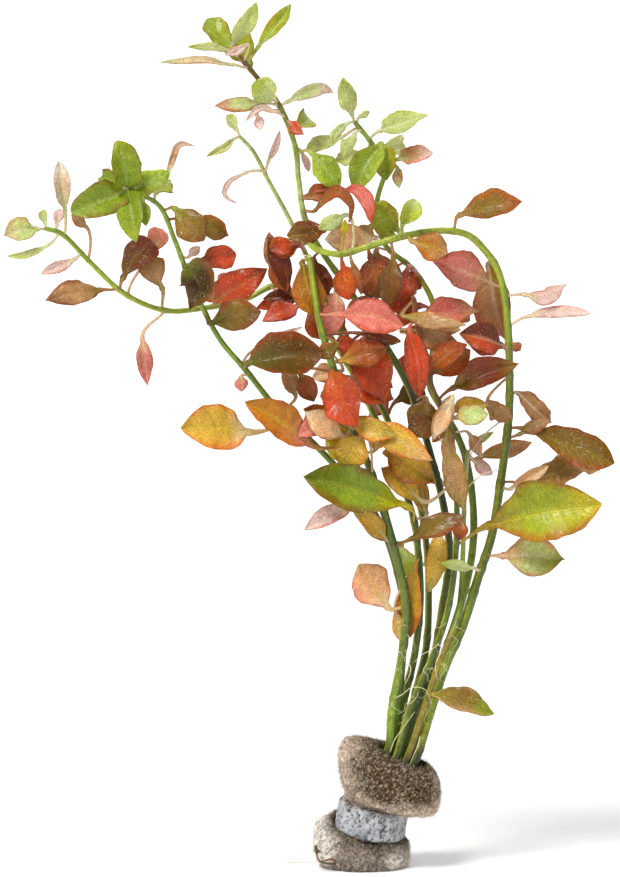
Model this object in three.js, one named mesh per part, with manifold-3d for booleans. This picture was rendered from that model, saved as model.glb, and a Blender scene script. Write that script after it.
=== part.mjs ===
// A potted bunch of ludwigia: nine stems with their leaves, held in a plug of mineral wool that a fired
// clay ring weighs down. Millimetres, +Z up. The origin is the middle of the plug's flat foot.
// +X is to the right of the front view and +Y goes into its depth.

import * as THREE from "three";
import { mergeVertices } from "three/addons/utils/BufferGeometryUtils.js";
import Module from "manifold-3d";

const wasm = await Module();
wasm.setup();

// Driving dimensions
const GAP = 0.3; // clearance between pieces that touch
const SIGHT_ANGLE = 6; // degrees: the front view looks down by this much
const AXIS_LOW = [-0.5, 0.5, 7]; // the plug's leaning axis, at the lower bulge
const AXIS_HIGH = [9.6, -3, 29]; // and at its top
const UPPER_BULGE = {
  radius: 12.6,
  half: 7.4,
  square: 3.6,
  at: [6.2, -1.8, 22.6],
  slope: [-0.305, 0.06], // of its middle plane, along X and Y
  swell: [-0.009, 0], // how much thicker it grows along X and Y
};
const LOWER_BULGE = {
  radius: 12,
  half: 8,
  square: 2.3,
  at: [-0.8, 0.4, 5],
  slope: [-0.1, 0.15],
  swell: [-0.004, 0.019],
};
const BULGE_BANDS = 6;
const BULGE_SIDES = 16;
const FOOT_DEPTH = 40; // of the block that trims the foot flat
const WAIST = { radius: 6.7, height: 17.4 };
const RING = { outer: 8.9, inner: 7.2, height: 8.2, round: 1.1, at: [1.7, -0.3, 12.3], lean: [0.16, -0.15] };
const RING_SIDES = 18;
const CHANNEL = { low: 5.7, high: 6.2, floor: -3.8, top: 31, sides: 12 }; // floor and top along the axis
const BUNDLE_RADIUS = 3.8; // the stems stand on this circle inside the plug
const BUNDLE_LEVELS = [-3.3, 11, 24]; // of the stems' cut ends and of two places above, along the axis
const STEM_STEP = 10; // length of one faceted stretch of stem
const STEM_SIDES = 5;
const STALK_HALF = 0.4; // half the width of a leaf stalk
const STALK_ANGLE = 60; // degrees between a stem and the stalk that leaves it
const LEAF_HALF = 0.32; // half the thickness of a blade at its midrib
const LEAF_FOLD = 0.22; // how far a blade's edges rise towards its upper face
const LEAF_BOW = 0.07; // how far a blade bows towards its upper face, of its length
const FLATNESS = 0.04; // facets this near to one plane become one facet

// Blade outlines: how the width grows from the base and falls to the tip
const OVATE = { grow: 0.8, fall: 0.68 };
const ROUND = { grow: 0.65, fall: 0.5 };
const STRAP = { grow: 0.5, fall: 0.55 };
const OUTLINES = { o: OVATE, r: ROUND, s: STRAP };

const COLOURS = {
  stem: 0x5c7a1e,
  foam: 0x8a7460,
  clay: 0xb9bcc0,
  green: 0x7f9a2c,
  lime: 0xb6b64a,
  gold: 0xb8a012,
  amber: 0xa86a1c,
  olive: 0x6b5416,
  tan: 0xa98a5a,
  brown: 0x7a4a28,
  rust: 0xa9532a,
  red: 0xb8402c,
  pink: 0xc97f74,
  maroon: 0x6e2f22,
  pale: 0xd9cfae,
};

// Stems: direction in the bundle (degrees), radius at the foot and at the tip, and points x, depth y and
// height as the front view shows it
const STEMS = {
  stem_front_left: {
    turn: 190,
    radius: [1.3, 0.8],
    route: [[6.75, -3.4, 39], [9.25, -4.6, 53], [10.2, -5.4, 66], [7, -6, 81], [2, -6, 97.5], [-2.5, -6, 109],
      [-8, -6, 125], [-11.5, -5.2, 137], [-13.2, -5, 148], [-14, -5, 153.2]],
  },
  stem_left_rosette: {
    turn: 140,
    radius: [1.1, 0.55],
    route: [[8.1, -0.2, 39], [9.4, -0.6, 53], [9.6, -0.6, 66], [5.6, 0.4, 82], [1.5, 2.2, 90], [-6, 3, 99],
      [-16.2, 0, 109.5], [-23, -3, 116], [-29.8, -7, 124.5], [-36, -8, 131.8], [-41, -9, 141], [-44.8, -10, 150],
      [-47.5, -11, 157], [-51, -12.5, 165], [-55, -14, 167.6], [-59, -15, 169]],
  },
  stem_far_left: {
    turn: 100,
    radius: [1.05, 0.6],
    route: [[9.4, 2.6, 39], [12.6, 1.6, 54], [13.9, 1.2, 68], [13.2, 1.2, 80], [12, 1.8, 88], [7, 6, 102],
      [0, 13, 118], [-8, 17, 132], [-15, 18.5, 141], [-21.8, 18, 145.8], [-30, 17, 142.4], [-41.2, 16, 140],
      [-50, 14, 139.5], [-60, 11.5, 143.5], [-68.8, 10, 151.5], [-76.2, 9, 158.8], [-80.5, 9, 160]],
  },
  stem_back: {
    turn: 55,
    radius: [1.1, 0.5],
    route: [[11.8, 3.6, 39], [15.4, 5, 55], [16, 7, 68], [15.4, 8, 81], [12.4, 9, 96], [5.5, 9, 112.5],
      [-4, 9, 129], [-12, 8, 147], [-18, 7, 160.5], [-24.2, 6, 172], [-28, 5, 179.2], [-31.5, 4, 183]],
  },
  stem_right_shoot: {
    turn: 15,
    radius: [1.25, 0.55],
    route: [[14.6, 2.4, 39], [20.6, 5, 55], [24.6, 7.6, 67.5], [27, 9.4, 79], [27.2, 11, 90.5], [25.2, 13, 103],
      [21, 14, 112.5], [16.6, 14.5, 120], [17.2, 15, 131], [17.2, 14.5, 141], [12, 12.5, 149.8], [5, 10.5, 156],
      [3, 10, 166], [5, 10, 175.6], [1.4, 9.6, 181.6], [-3, 9, 187]],
  },
  stem_arching: {
    turn: 330,
    radius: [1.35, 0.75],
    route: [[16.4, -1.4, 39], [20, -0.4, 50], [24.6, 1.8, 60.5], [28.4, 3.6, 72.5], [31.8, 5, 83], [33.8, 6.4, 95],
      [36, 7.6, 112], [36.2, 7.6, 125], [35.6, 6.6, 137], [33.4, 4.8, 149], [29.8, 2, 154.5], [25.5, -0.6, 158.2],
      [18.8, -3.4, 159.2], [9.8, -5, 157.8], [1, -5.8, 155.3], [-6.2, -6.2, 153.3], [-11.6, -6.2, 154.3],
      [-14.4, -6.4, 156]],
  },
  stem_pale: {
    turn: 290,
    radius: [1, 0.5],
    route: [[14.6, -4.4, 39], [18.2, -4.2, 50], [20.6, -3.2, 56], [22.6, -1.6, 60.5], [23.6, 0.8, 65],
      [24.2, 3.4, 71], [24.7, 5, 82], [25, 5, 93], [25.8, 5, 104.5]],
  },
  stem_middle: {
    turn: 245,
    radius: [1, 0.6],
    route: [[11, -3.6, 39], [17, -2.4, 53], [20.4, -1.6, 63], [22.2, -1.8, 73], [22.9, -2.6, 85], [22.6, -3, 98],
      [20.6, -4.2, 112], [17, -5, 119.4], [14.4, -5.4, 128], [12, -6, 143]],
  },
  stem_upright: {
    turn: 0,
    inner: true,
    radius: [1.2, 0.6],
    route: [[12.5, -0.2, 39], [17.4, 0.8, 53], [19.4, 1.2, 65], [21.2, 2, 78], [19.8, 2.6, 90], [16.8, 3.4, 102],
      [11.6, 4, 118.6], [5.6, 4, 130], [-3, 3.2, 143], [-14.4, 2, 160.5], [-16.6, 2, 172], [-17.4, 2, 180],
      [-21.5, 1, 190.5], [-27.5, 0, 198], [-31.8, -2, 203]],
  },
};

// Leaves that are pieces of their own: name, stem, the joint as seen from the front [x, height], the blade
// from base to tip [x, depth, height], width, turn of the face in degrees, outline and colour
const LEAVES = [
  ["leaf_large_gold", "stem_middle", [22.8, 80.3], [[31, -1, 86], [59.2, -9, 91]], 14.6, -18, "o", "gold"],
  ["leaf_green_front", "stem_far_left", [12.3, 86], [[8.8, -8.2, 90.8], [-15.5, -16, 98]], 12.2, 20, "o", "green"],
  ["leaf_olive_right", "stem_arching", [35.7, 110], [[42.5, 6, 110], [62.5, 2, 101.2]], 9.6, -25, "o", "olive"],
  ["leaf_olive_gold", "stem_arching", [34, 96], [[42, 9.5, 96.5], [59.5, 13, 100.3]], 7.4, -35, "o", "gold"],
  ["leaf_low_right", "stem_arching", [30.2, 78], [[34.5, 2.5, 78], [50.2, 0, 77]], 9.8, -20, "o", "lime"],
  ["leaf_tan_right", "stem_arching", [36.2, 118], [[38.4, 10, 118.8], [47, 12, 111.2]], 5.2, -20, "o", "tan"],
  ["leaf_behind_arch", "stem_arching", [32, 151], [[31, 10, 150.6], [35.2, 12.5, 132]], 8.6, 10, "o", "pink"],
  ["leaf_orange_pink", "stem_arching", [34.2, 145.5], [[30.4, 3, 146.6], [16.8, -1.6, 151.6]], 9, 25, "o", "rust"],
  ["leaf_copper_top", "stem_arching", [21.8, 159], [[23.4, -3, 163], [39.2, -6, 166.3]], 6.8, -20, "o", "rust"],
  ["leaf_arch_brown", "stem_arching", [10.5, 158], [[11.5, -7.6, 156.6], [20.6, -10, 153.6]], 6.6, -10, "o", "brown"],
  ["leaf_spoon", "stem_arching", [9, 157.6], [[9.3, -6.4, 160.6], [12.4, -8, 167]], 4.6, 10, "r", "green"],
  ["leaf_red_right", "stem_arching", [36, 129.6], [[34, 2.4, 130.8], [23.4, -2, 133.6]], 7.4, 22, "o", "rust"],
  ["leaf_maroon_right", "stem_middle", [18.2, 117], [[22, -5.4, 120], [38.6, -4.6, 126.2]], 7, -20, "o", "maroon"],
  ["leaf_pink_centre", "stem_right_shoot", [17.3, 139], [[14.2, 4, 137.2], [28.4, -0.6, 139.2]], 7, -25, "o", "rust"],
  ["leaf_brown_centre", "stem_middle", [15.8, 122.6], [[16, -8.6, 124.6], [25.4, -10, 131]], 5.8, -20, "o", "brown"],
  ["leaf_coral_front", "stem_front_left", [-11.6, 138.5], [[-6.2, -10.4, 138.3], [9.7, -14.6, 135.3]], 8, -20,
    "o", "pink"],
  ["leaf_orange_front", "stem_front_left", [-8.2, 125.4], [[-8.6, -9.6, 123.8], [-1.8, -14.6, 110]], 9.6, 18,
    "o", "red"],
  ["leaf_red_orange_hanging", "stem_arching", [-5.6, 153.3], [[-5.6, -5.6, 150.6], [-4, -8, 141.8]], 5.6, 0,
    "o", "red"],
  ["leaf_maroon_upper", "stem_arching", [-11.6, 154.3], [[-12.6, -1, 151.6], [-9, 0.4, 143]], 4.6, 0, "o", "maroon"],
  ["leaf_brown_red_hanging", "stem_arching", [1, 155.3], [[1.4, -3.2, 152.6], [4.8, -3.4, 142.2]], 9, 0, "o", "rust"],
  ["leaf_dark_hanging", "stem_arching", [6.5, 157], [[7, -7, 152.6], [5.8, -7.4, 139.8]], 5.6, 0, "o", "olive"],
  ["leaf_amber_hanging", "stem_front_left", [-14, 152], [[-15.8, -2.2, 151.4], [-12, -2.4, 137.8]], 7.4, 0,
    "o", "amber"],
  ["leaf_olive_left", "stem_left_rosette", [-39.6, 138], [[-38.4, -12, 136], [-25.8, -14, 139]], 7.6, -22,
    "o", "olive"],
  ["leaf_dark_olive", "stem_left_rosette", [-29.8, 124.5], [[-29.4, -10.4, 126], [-10.3, -11, 129]], 10.2, -22,
    "o", "olive"],
  ["leaf_orange_left", "stem_far_left", [-38, 140.6], [[-37.4, 11, 141.8], [-24.4, 6, 150]], 8.2, -20, "o", "red"],
  ["leaf_rosette_low", "stem_left_rosette", [-44.8, 150.2], [[-45, -13, 149.4], [-40.6, -17, 140]], 9, 10,
    "o", "olive"],
  ["leaf_rosette_right", "stem_left_rosette", [-50.6, 164], [[-47.4, -13.6, 164.6], [-40, -17, 156.4]], 7.4, -15,
    "o", "olive"],
  ["leaf_rosette_top", "stem_left_rosette", [-58.6, 168.9], [[-59.3, -16, 171], [-60.3, -19, 181.5]], 7.6, 10,
    "o", "green"],
  ["leaf_rosette_left", "stem_left_rosette", [-58.9, 169], [[-61, -17, 167.6], [-72.4, -22, 165.6]], 8.4, 20,
    "o", "green"],
  ["leaf_rosette_front", "stem_left_rosette", [-58.2, 168.8], [[-58.6, -18, 166.6], [-57, -22, 155.6]], 4.8, 10,
    "o", "green"],
  ["leaf_rosette_side", "stem_left_rosette", [-56.6, 168.2], [[-55.2, -16, 169.6], [-48.6, -14.6, 173.2]], 5.6, -20,
    "o", "green"],
  ["leaf_far_brown", "stem_far_left", [-61.4, 144.6], [[-60.2, 8.6, 148.6], [-55.8, 5, 157.6]], 6.6, -15,
    "o", "brown"],
  ["leaf_far_maroon", "stem_far_left", [-62, 145], [[-66.4, 9.4, 144.6], [-80, 5, 141.9]], 6, 25, "o", "maroon"],
  ["leaf_far_tip", "stem_far_left", [-80.3, 160], [[-82, 7.6, 159.8], [-90.3, 4, 158]], 5.6, 20, "o", "tan"],
  ["leaf_far_peach", "stem_far_left", [-75.2, 158], [[-75, 7.4, 164.6], [-76.6, 5, 177]], 4, 10, "s", "pink"],
  ["leaf_shoot_green", "stem_right_shoot", [2, 180.8], [[1.6, 5.6, 179.4], [-1.8, 1, 168.2]], 6.6, 10,
    "o", "green"],
  ["leaf_shoot_right", "stem_right_shoot", [1, 182], [[4, 7, 184.4], [15.8, 3, 188.2]], 5.2, -25, "o", "green"],
  ["leaf_upper_green", "stem_upright", [-17.3, 178.4], [[-13.4, -1.4, 178.6], [-6.2, -5, 169.8]], 6.2, -15,
    "o", "green"],
  ["leaf_top_brown", "stem_upright", [-14.9, 162], [[-10.2, -2.5, 159.2], [-19.6, -3.2, 158]], 5.6, 6,
    "o", "brown"],
  ["leaf_golden_left", "stem_left_rosette", [-19, 112], [[-29.2, -8, 109], [-46, -14, 110.2]], 11, 22, "o", "gold"],
  ["leaf_amber_left", "stem_front_left", [-1.2, 105.6], [[-14, -10, 106], [-30, -13, 116.6]], 8.2, 22,
    "o", "amber"],
  ["leaf_lime_left", "stem_front_left", [-0.6, 104], [[-1, -2, 101.8], [-9.6, -1.6, 110.3]], 9, 15, "o", "lime"],
  ["leaf_orange_brown", "stem_front_left", [-8.6, 127], [[-6.2, -7.4, 126.6], [5.2, -10, 130]], 6.8, -18,
    "o", "amber"],
  ["leaf_red_low", "stem_front_left", [-6.6, 121.6], [[-4.6, -3.6, 122.6], [7.4, -3.4, 117.2]], 7.2, -10,
    "o", "red"],
  ["leaf_red_strap", "stem_middle", [12.8, 137], [[10.9, -9, 134], [13.6, -12, 117.6]], 5.6, 0, "s", "red"],
  ["leaf_olive_centre", "stem_upright", [12.4, 117], [[15.2, -0.6, 117.2], [12.2, -5, 108.4]], 7.2, 0,
    "o", "brown"],
  ["leaf_golden_centre", "stem_front_left", [-3, 110], [[0.6, -9.4, 110.8], [17, -12.4, 101.8]], 6.6, -20,
    "o", "gold"],
  ["leaf_gold_centre", "stem_far_left", [7.4, 101], [[5.6, -2.8, 103.6], [17.3, -6, 96.4]], 8.4, -15, "o", "amber"],
  ["leaf_pink_low", "stem_front_left", [10.2, 64.8], [[5.8, -5.4, 65], [-1.6, -3, 76]], 9.4, 15, "o", "pink"],
];

// Small leaves that are one piece with their stem: the same values without a name
const SPRIGS = [
  // right of the arching stem
  ["stem_arching", [35.2, 143.6], [[40, 6, 143.4], [45, 5, 142.3], [50.5, 3, 146]], 4.2, -20, "o", "pink"],
  ["stem_arching", [36, 135.6], [[41, 6, 138], [48.8, 4, 139.4], [56.8, 1, 138.6]], 3, -20, "s", "pink"],
  ["stem_arching", [36, 131], [[37.2, 6, 131], [39, 5, 129.4]], 2.6, -10, "o", "red"],
  ["stem_arching", [36, 113.4], [[34.4, 5, 112.8], [29.8, 1, 116.4]], 4.6, 15, "o", "tan"],
  ["stem_arching", [33.8, 94.6], [[36.6, 4.4, 94.8], [46, 2, 100.6]], 3, -20, "o", "pale"],
  ["stem_arching", [28.8, 74.6], [[26.8, -3.4, 75], [18.8, -8.4, 76.2]], 2.8, 0, "o", "lime"],
  ["stem_arching", [18, 44], [[19.4, -4, 43], [32.6, -6, 38]], 5.2, -25, "o", "gold"],
  ["stem_arching", [9.4, 157.7], [[8, -0.4, 159.6], [2.4, 2.4, 166.2]], 6, 0, "r", "pale"],
  ["stem_arching", [-4.2, 153.6], [[-3.4, -8.6, 151.4], [-0.8, -10.6, 143]], 2, 0, "s", "olive"],
  ["stem_arching", [-6.2, 153.3], [[-5.6, -6.6, 158], [-5, -7, 162]], 1.6, 0, "s", "lime"],
  // tip of the upright stem
  ["stem_upright", [-31.6, 202.8], [[-33, -3.4, 205.6], [-27, -8, 215.7]], 4.3, 10, "o", "green"],
  ["stem_upright", [-31.6, 202.8], [[-33.6, -1, 205], [-39.6, 3, 212]], 5.6, 10, "r", "lime"],
  ["stem_upright", [-31.6, 202.8], [[-34, -4, 204], [-44.2, -9, 204.6]], 2, 20, "s", "lime"],
  ["stem_upright", [-28.6, 199.2], [[-28.6, 2, 200.8], [-33.2, 6, 208.6]], 7.6, 10, "r", "lime"],
  ["stem_upright", [-30.4, 201.4], [[-29.6, -5, 205.4], [-35, -9, 202.5]], 2.2, 0, "o", "pink"],
  ["stem_upright", [-29.3, 200], [[-33, -5, 200.4], [-51, -13, 200.6]], 1.9, 20, "s", "olive"],
  ["stem_upright", [-30, 200.8], [[-26.7, 3, 205], [-18.3, 8, 216.2]], 3.4, -10, "o", "green"],
  ["stem_upright", [-22, 191.2], [[-22.8, -2, 192], [-27.6, -7, 196.2]], 6, 15, "r", "lime"],
  ["stem_upright", [-21.5, 190.5], [[-25.5, -3, 191], [-37.5, -8, 190]], 3.6, 15, "s", "green"],
  ["stem_upright", [-21.2, 190], [[-19.4, 4, 191.4], [-10.8, 9, 195], [-7.8, 10, 193.8]], 3.3, -15, "o", "lime"],
  ["stem_upright", [-20.2, 187.4], [[-22.6, -3, 188.8], [-26, -5, 189.4], [-29.8, -6, 186.2]], 1.8, 0, "s", "pink"],
  ["stem_upright", [-21.6, 189], [[-27, -3, 187.9], [-25.8, -5, 184.2]], 2.5, 0, "o", "pink"],
  ["stem_upright", [-19.8, 187], [[-18.8, 0, 186.2], [-15.2, -3, 183]], 3, 0, "o", "red"],
  ["stem_upright", [-17.4, 180], [[-15.8, 4.2, 178.8], [-14, 4.6, 174]], 1.8, 0, "s", "maroon"],
  ["stem_upright", [-15.8, 167], [[-14.2, 0.4, 167.4], [-8.4, 1.4, 170]], 4.6, -15, "o", "maroon"],
  ["stem_upright", [-15.2, 163.6], [[-12.6, -2.4, 164.2], [-6.8, -8, 168.6], [-3.4, -9, 165.4], [-4.2, -10, 161]],
    3, 0, "s", "brown"],
  ["stem_upright", [-14.6, 161], [[-18, 2.6, 156], [-24, 1, 154.4]], 5, 20, "o", "maroon"],
  ["stem_upright", [-18.6, 184], [[-17.4, 7, 185.4], [-14.6, 16, 188]], 5, 0, "o", "green"],
  ["stem_upright", [-21.5, 190.5], [[-22.4, 6, 192.2], [-25, 15, 196]], 5, 0, "o", "lime"],
  // left of it
  ["stem_back", [-25, 173.6], [[-24.2, 3, 176.4], [-21.2, 0, 184.3]], 1.7, 0, "s", "pink"],
  ["stem_back", [-31.3, 182.8], [[-32.6, 2.6, 182.2], [-39.7, -2, 177.6]], 1.9, 0, "s", "lime"],
  ["stem_back", [-31.3, 182.8], [[-32, 5.4, 184.4], [-34.4, 9, 188.4]], 2.6, 0, "o", "lime"],
  ["stem_back", [-17.2, 158.6], [[-22.8, 5, 153.6], [-19.4, 2.4, 143.8]], 5, 0, "o", "brown"],
  ["stem_back", [-10.4, 143.4], [[-14, 4, 139.8], [-9, 2.4, 131.8]], 6.4, 0, "o", "rust"],
  ["stem_back", [-12, 147], [[-17, 0.6, 140.4], [-25.8, -3, 136.6]], 5, 15, "o", "red"],
  ["stem_back", [-4, 129], [[-1, 14, 130], [4.6, 27, 132]], 8.4, -10, "o", "maroon"],
  ["stem_back", [5.5, 112.5], [[6, 14, 114], [4, 26, 117]], 8, -10, "o", "red"],
  ["stem_back", [12.4, 96], [[13.6, 13.4, 97.4], [17, 25, 100]], 8, 10, "o", "gold"],
  ["stem_back", [15.8, 76], [[14, 11.6, 76], [9, 22, 79]], 7.6, -20, "o", "lime"],
  // top right shoot
  ["stem_right_shoot", [-2.8, 186.8], [[-3.3, 8, 188.4], [-5.7, 4, 197.5]], 4.6, 0, "o", "green"],
  ["stem_right_shoot", [-2.2, 186], [[-1.4, 10.6, 187.8], [1.1, 14, 189.3]], 1.8, 0, "o", "green"],
  ["stem_right_shoot", [-2.8, 186.8], [[-4.6, 7, 186], [-7.8, 4, 183.6], [-8, 3, 180.2]], 2.3, 0, "s", "lime"],
  ["stem_right_shoot", [-1.4, 185], [[-6, 12, 182.8], [-15, 18, 179.5]], 3.6, 10, "o", "pale"],
  ["stem_right_shoot", [-0.8, 184.2], [[-2.6, 6, 183.4], [-5.6, 2, 177]], 3.4, 10, "o", "pale"],
  ["stem_right_shoot", [1.4, 181.6], [[-0.5, 13, 179], [-7.6, 18, 177.3]], 3.6, 10, "o", "pale"],
  ["stem_right_shoot", [3, 179.6], [[4.6, 7, 180.8], [5.4, 3, 171.8]], 5.6, 0, "o", "green"],
  ["stem_right_shoot", [4.6, 176.4], [[8.5, 8.6, 177.3], [17, 4, 178.7]], 4.6, -20, "o", "pink"],
  ["stem_right_shoot", [5, 175], [[8, 8.4, 175.4], [8.6, 6, 169.8]], 2.5, 0, "o", "olive"],
  ["stem_right_shoot", [3, 179], [[4.6, 14, 180.4], [9.6, 23, 182]], 5, 0, "o", "green"],
  ["stem_right_shoot", [3.2, 160], [[1.6, 5.6, 160.6], [-2.4, 3.6, 156.6]], 4.6, 0, "o", "tan"],
  ["stem_right_shoot", [12.4, 149], [[10.4, 2.4, 149.2], [8, -0.6, 140.6]], 5, 0, "o", "red"],
  ["stem_right_shoot", [13.4, 147.6], [[9.8, 9, 148.8], [14.2, 7, 144.8]], 4.6, 0, "o", "rust"],
  ["stem_right_shoot", [25.4, 102.4], [[28.8, 13.4, 102.6], [42.2, 15, 106.4]], 4, -20, "s", "tan"],
  ["stem_right_shoot", [17.2, 131], [[18, 20, 132.4], [22, 32, 134]], 8, 0, "o", "rust"],
  ["stem_right_shoot", [16.6, 139], [[14, 20, 140.8], [7, 31, 142]], 8, -10, "o", "red"],
  ["stem_right_shoot", [23, 109], [[22, 19, 110], [17, 29, 112]], 7.6, -10, "o", "olive"],
  // far left branch
  ["stem_far_left", [-38.4, 140.5], [[-36.2, 17.5, 144.8], [-33.4, 18, 148.9]], 4.2, 0, "o", "pale"],
  ["stem_far_left", [-22, 145.8], [[-23.6, 12, 150.6], [-24, 8, 159.2]], 3.6, 0, "o", "pink"],
  ["stem_far_left", [-24, 145.2], [[-21.6, 10, 141.6], [-27.3, 7, 140]], 3, 0, "o", "red"],
  ["stem_far_left", [-21, 145.6], [[-20, 12, 145], [-19.4, 9.4, 139.8]], 5, 0, "o", "maroon"],
  ["stem_far_left", [-50, 139.5], [[-55.8, 11, 132.6], [-54.5, 8, 120.5]], 4, 0, "o", "pink"],
  ["stem_far_left", [-50.6, 139.6], [[-50.8, 12.6, 145], [-54.2, 10, 152.4]], 5.6, 0, "o", "tan"],
  ["stem_far_left", [-59, 143], [[-55, 14, 152], [-50.6, 13, 159.8]], 4.6, 0, "o", "pink"],
  ["stem_far_left", [-69.4, 152], [[-69.8, 9, 160.4], [-73.4, 6, 163.6]], 2.6, 0, "o", "brown"],
  ["stem_far_left", [-71, 153.6], [[-72.4, 8, 152.4], [-81, 5, 148.5]], 2.7, 20, "o", "pink"],
  ["stem_far_left", [-80, 159.9], [[-80, 10.4, 161], [-80.6, 13, 164.8]], 2.2, 0, "o", "olive"],
  ["stem_far_left", [-77.2, 159.3], [[-77.2, 11, 160.8], [-76.4, 13, 165]], 2.6, 0, "o", "pale"],
  ["stem_far_left", [-76.2, 158.8], [[-79.2, 7.6, 155.8], [-85, 5, 153], [-89.6, 4, 153]], 1.8, 15, "s", "lime"],
  ["stem_far_left", [12.4, 86.6], [[15.4, -1.2, 88.6], [12.8, -1.2, 94.4], [3.9, -1.2, 100.2]], 5, 0, "s", "tan"],
  ["stem_far_left", [13.4, 77.4], [[13.6, -1.6, 75.4], [13.4, -2, 56.4]], 4.4, 0, "s", "amber"],
  ["stem_far_left", [0, 118], [[-3, 20, 119], [-11, 31, 118.4]], 8, 10, "o", "amber"],
  ["stem_far_left", [-15, 141], [[-14.6, 24, 142], [-9.6, 35, 141]], 7.4, -10, "o", "red"],
  ["stem_far_left", [-36, 140.8], [[-36.6, 22, 142], [-39, 31, 146]], 6, 0, "o", "rust"],
  // left rosette branch
  ["stem_left_rosette", [-45.6, 152.4], [[-43.8, -10, 152.6], [-41.2, -11, 155.2]], 2.2, 0, "o", "pink"],
  ["stem_left_rosette", [-56.2, 168], [[-55.2, -17, 166.6], [-54.4, -20, 160]], 2.8, 0, "o", "green"],
  ["stem_left_rosette", [-58.6, 168.9], [[-60, -16.4, 169.6], [-62.4, -18, 171.4]], 2.5, 0, "o", "lime"],
  ["stem_left_rosette", [-57.4, 168.4], [[-57, -15.6, 170], [-56.6, -17, 173]], 2.2, 0, "o", "lime"],
  ["stem_left_rosette", [-54.6, 167.4], [[-49.4, -11.6, 172], [-47.3, -10, 177], [-46, -9, 180.2], [-42.3, -8, 180.2]],
    1.7, 0, "s", "pink"],
  ["stem_left_rosette", [-49.6, 162], [[-42.4, -9, 162], [-33.8, -8, 157.6]], 5.2, -10, "o", "olive"],
  ["stem_left_rosette", [-42.4, 144], [[-40, -11.6, 152], [-32, -11, 153]], 5.8, -5, "r", "red"],
  ["stem_left_rosette", [-30.8, 125.6], [[-27.4, -5, 129.6], [-15.5, -4, 135.4]], 1.6, 0, "s", "pink"],
  ["stem_left_rosette", [-29, 123.6], [[-31, -8.4, 122.8], [-30.8, -10.4, 119]], 3.3, 0, "o", "red"],
  ["stem_left_rosette", [-20.6, 113.6], [[-17.4, -4.4, 118.4], [-20.4, -6, 125.8]], 4, 0, "o", "tan"],
  ["stem_left_rosette", [-16.4, 109.7], [[-15.4, -3.4, 110.6], [-10.6, -5, 114]], 4, 0, "o", "pink"],
  ["stem_left_rosette", [-52.6, 166.2], [[-52, -8, 168.6], [-49, 0, 172]], 5, 0, "o", "green"],
  ["stem_left_rosette", [-58.4, 168.8], [[-61, -11, 170.4], [-66, -5, 172.4]], 5, 10, "o", "green"],
  // front left stem
  ["stem_front_left", [-10.6, 134], [[-1.4, -4.4, 133.6], [9, -4.4, 131.6]], 3, 0, "s", "maroon"],
  ["stem_front_left", [-9.8, 131.6], [[-7.6, -3.6, 130.6], [-2, -3.4, 131.4]], 4.6, 0, "o", "red"],
  ["stem_front_left", [-0.4, 104], [[2.6, -5, 104.6], [3.8, -6.4, 109.8]], 3.6, 0, "o", "gold"],
  ["stem_front_left", [4.4, 89.7], [[-3, -8.6, 91], [-15.3, -12, 84.5]], 4.6, 10, "s", "pale"],
  ["stem_front_left", [6.8, 81], [[5, -6.4, 82.6], [-3.4, -7.4, 90.2]], 4.4, 10, "o", "tan"],
  ["stem_front_left", [9.8, 70], [[7.6, -4, 64.4], [8.9, -4.2, 56.5]], 2.8, 0, "s", "pink"],
  ["stem_front_left", [7.4, 79.5], [[11.6, -9.6, 82.4], [25, -12, 88.3]], 5.6, -20, "o", "olive"],
  // middle stems
  ["stem_middle", [20.8, 111], [[22.8, -5.6, 112.6], [30.8, -7, 113.5]], 5, -15, "o", "lime"],
  ["stem_middle", [13.2, 135], [[15, -4.6, 136.2], [24, -4.6, 134.4]], 4.6, -5, "o", "tan"],
  ["stem_middle", [19, 115.6], [[21.8, -8.4, 117.6], [18.8, -9.2, 111.5], [17, -9, 107]], 4.4, 0, "s", "pink"],
  ["stem_middle", [21.6, 107], [[20, -6, 106.4], [24.8, -7.4, 89]], 5.6, 0, "o", "tan"],
  ["stem_middle", [22.8, 87.6], [[24.2, -5, 86.6], [23.4, -6.4, 81.6]], 3.6, 0, "o", "amber"],
  ["stem_upright", [20.6, 85.6], [[18.4, -3, 84], [16, -5.4, 68.8]], 4.8, 0, "s", "gold"],
  ["stem_pale", [25.7, 103.6], [[27.2, 4.6, 102], [32, 3, 98.3]], 3, 0, "s", "pale"],
  ["stem_pale", [25.7, 103.6], [[27, 5.4, 105.6], [32.3, 5, 109.2]], 1.8, 0, "s", "pale"],
  // in the thick of the bunch
  ["stem_front_left", [-10, 132.5], [[-7, -8, 130.5], [-12.5, -10, 127.5]], 4, 0, "o", "red"],
  ["stem_front_left", [-9.2, 129.5], [[-6.2, -3, 124], [-13.2, -2, 122.5]], 5, 10, "o", "pink"],
  ["stem_front_left", [-7.7, 124], [[-16.2, -8, 123.5], [-12.7, -9, 116.5]], 4.8, 0, "o", "brown"],
  ["stem_front_left", [-4.2, 114], [[-8.7, -8, 113], [-16.7, -12, 108]], 4.5, 10, "o", "pink"],
  ["stem_front_left", [-3.2, 111], [[-5.5, -9, 108], [-15, -12, 114]], 6, 10, "o", "lime"],
  ["stem_front_left", [-2.7, 109.5], [[-3.7, -10, 111.8], [7.8, -13, 108]], 5.5, -10, "o", "tan"],
  ["stem_front_left", [-2.5, 109], [[-8.7, -6, 112], [-15.5, -8, 114.8]], 4.5, 15, "o", "tan"],
  ["stem_front_left", [1.8, 98], [[-0.7, -10, 108.5], [-6.2, -12, 100]], 7.5, 0, "o", "lime"],
  ["stem_far_left", [13.5, 82], [[6.8, -3, 81.8], [-2.7, -5, 90.5]], 4.5, 10, "o", "olive"],
  ["stem_back", [-14.7, 154], [[-17, 4, 155.5], [-23.5, 2, 153.5]], 3.8, 10, "o", "red"],
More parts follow.
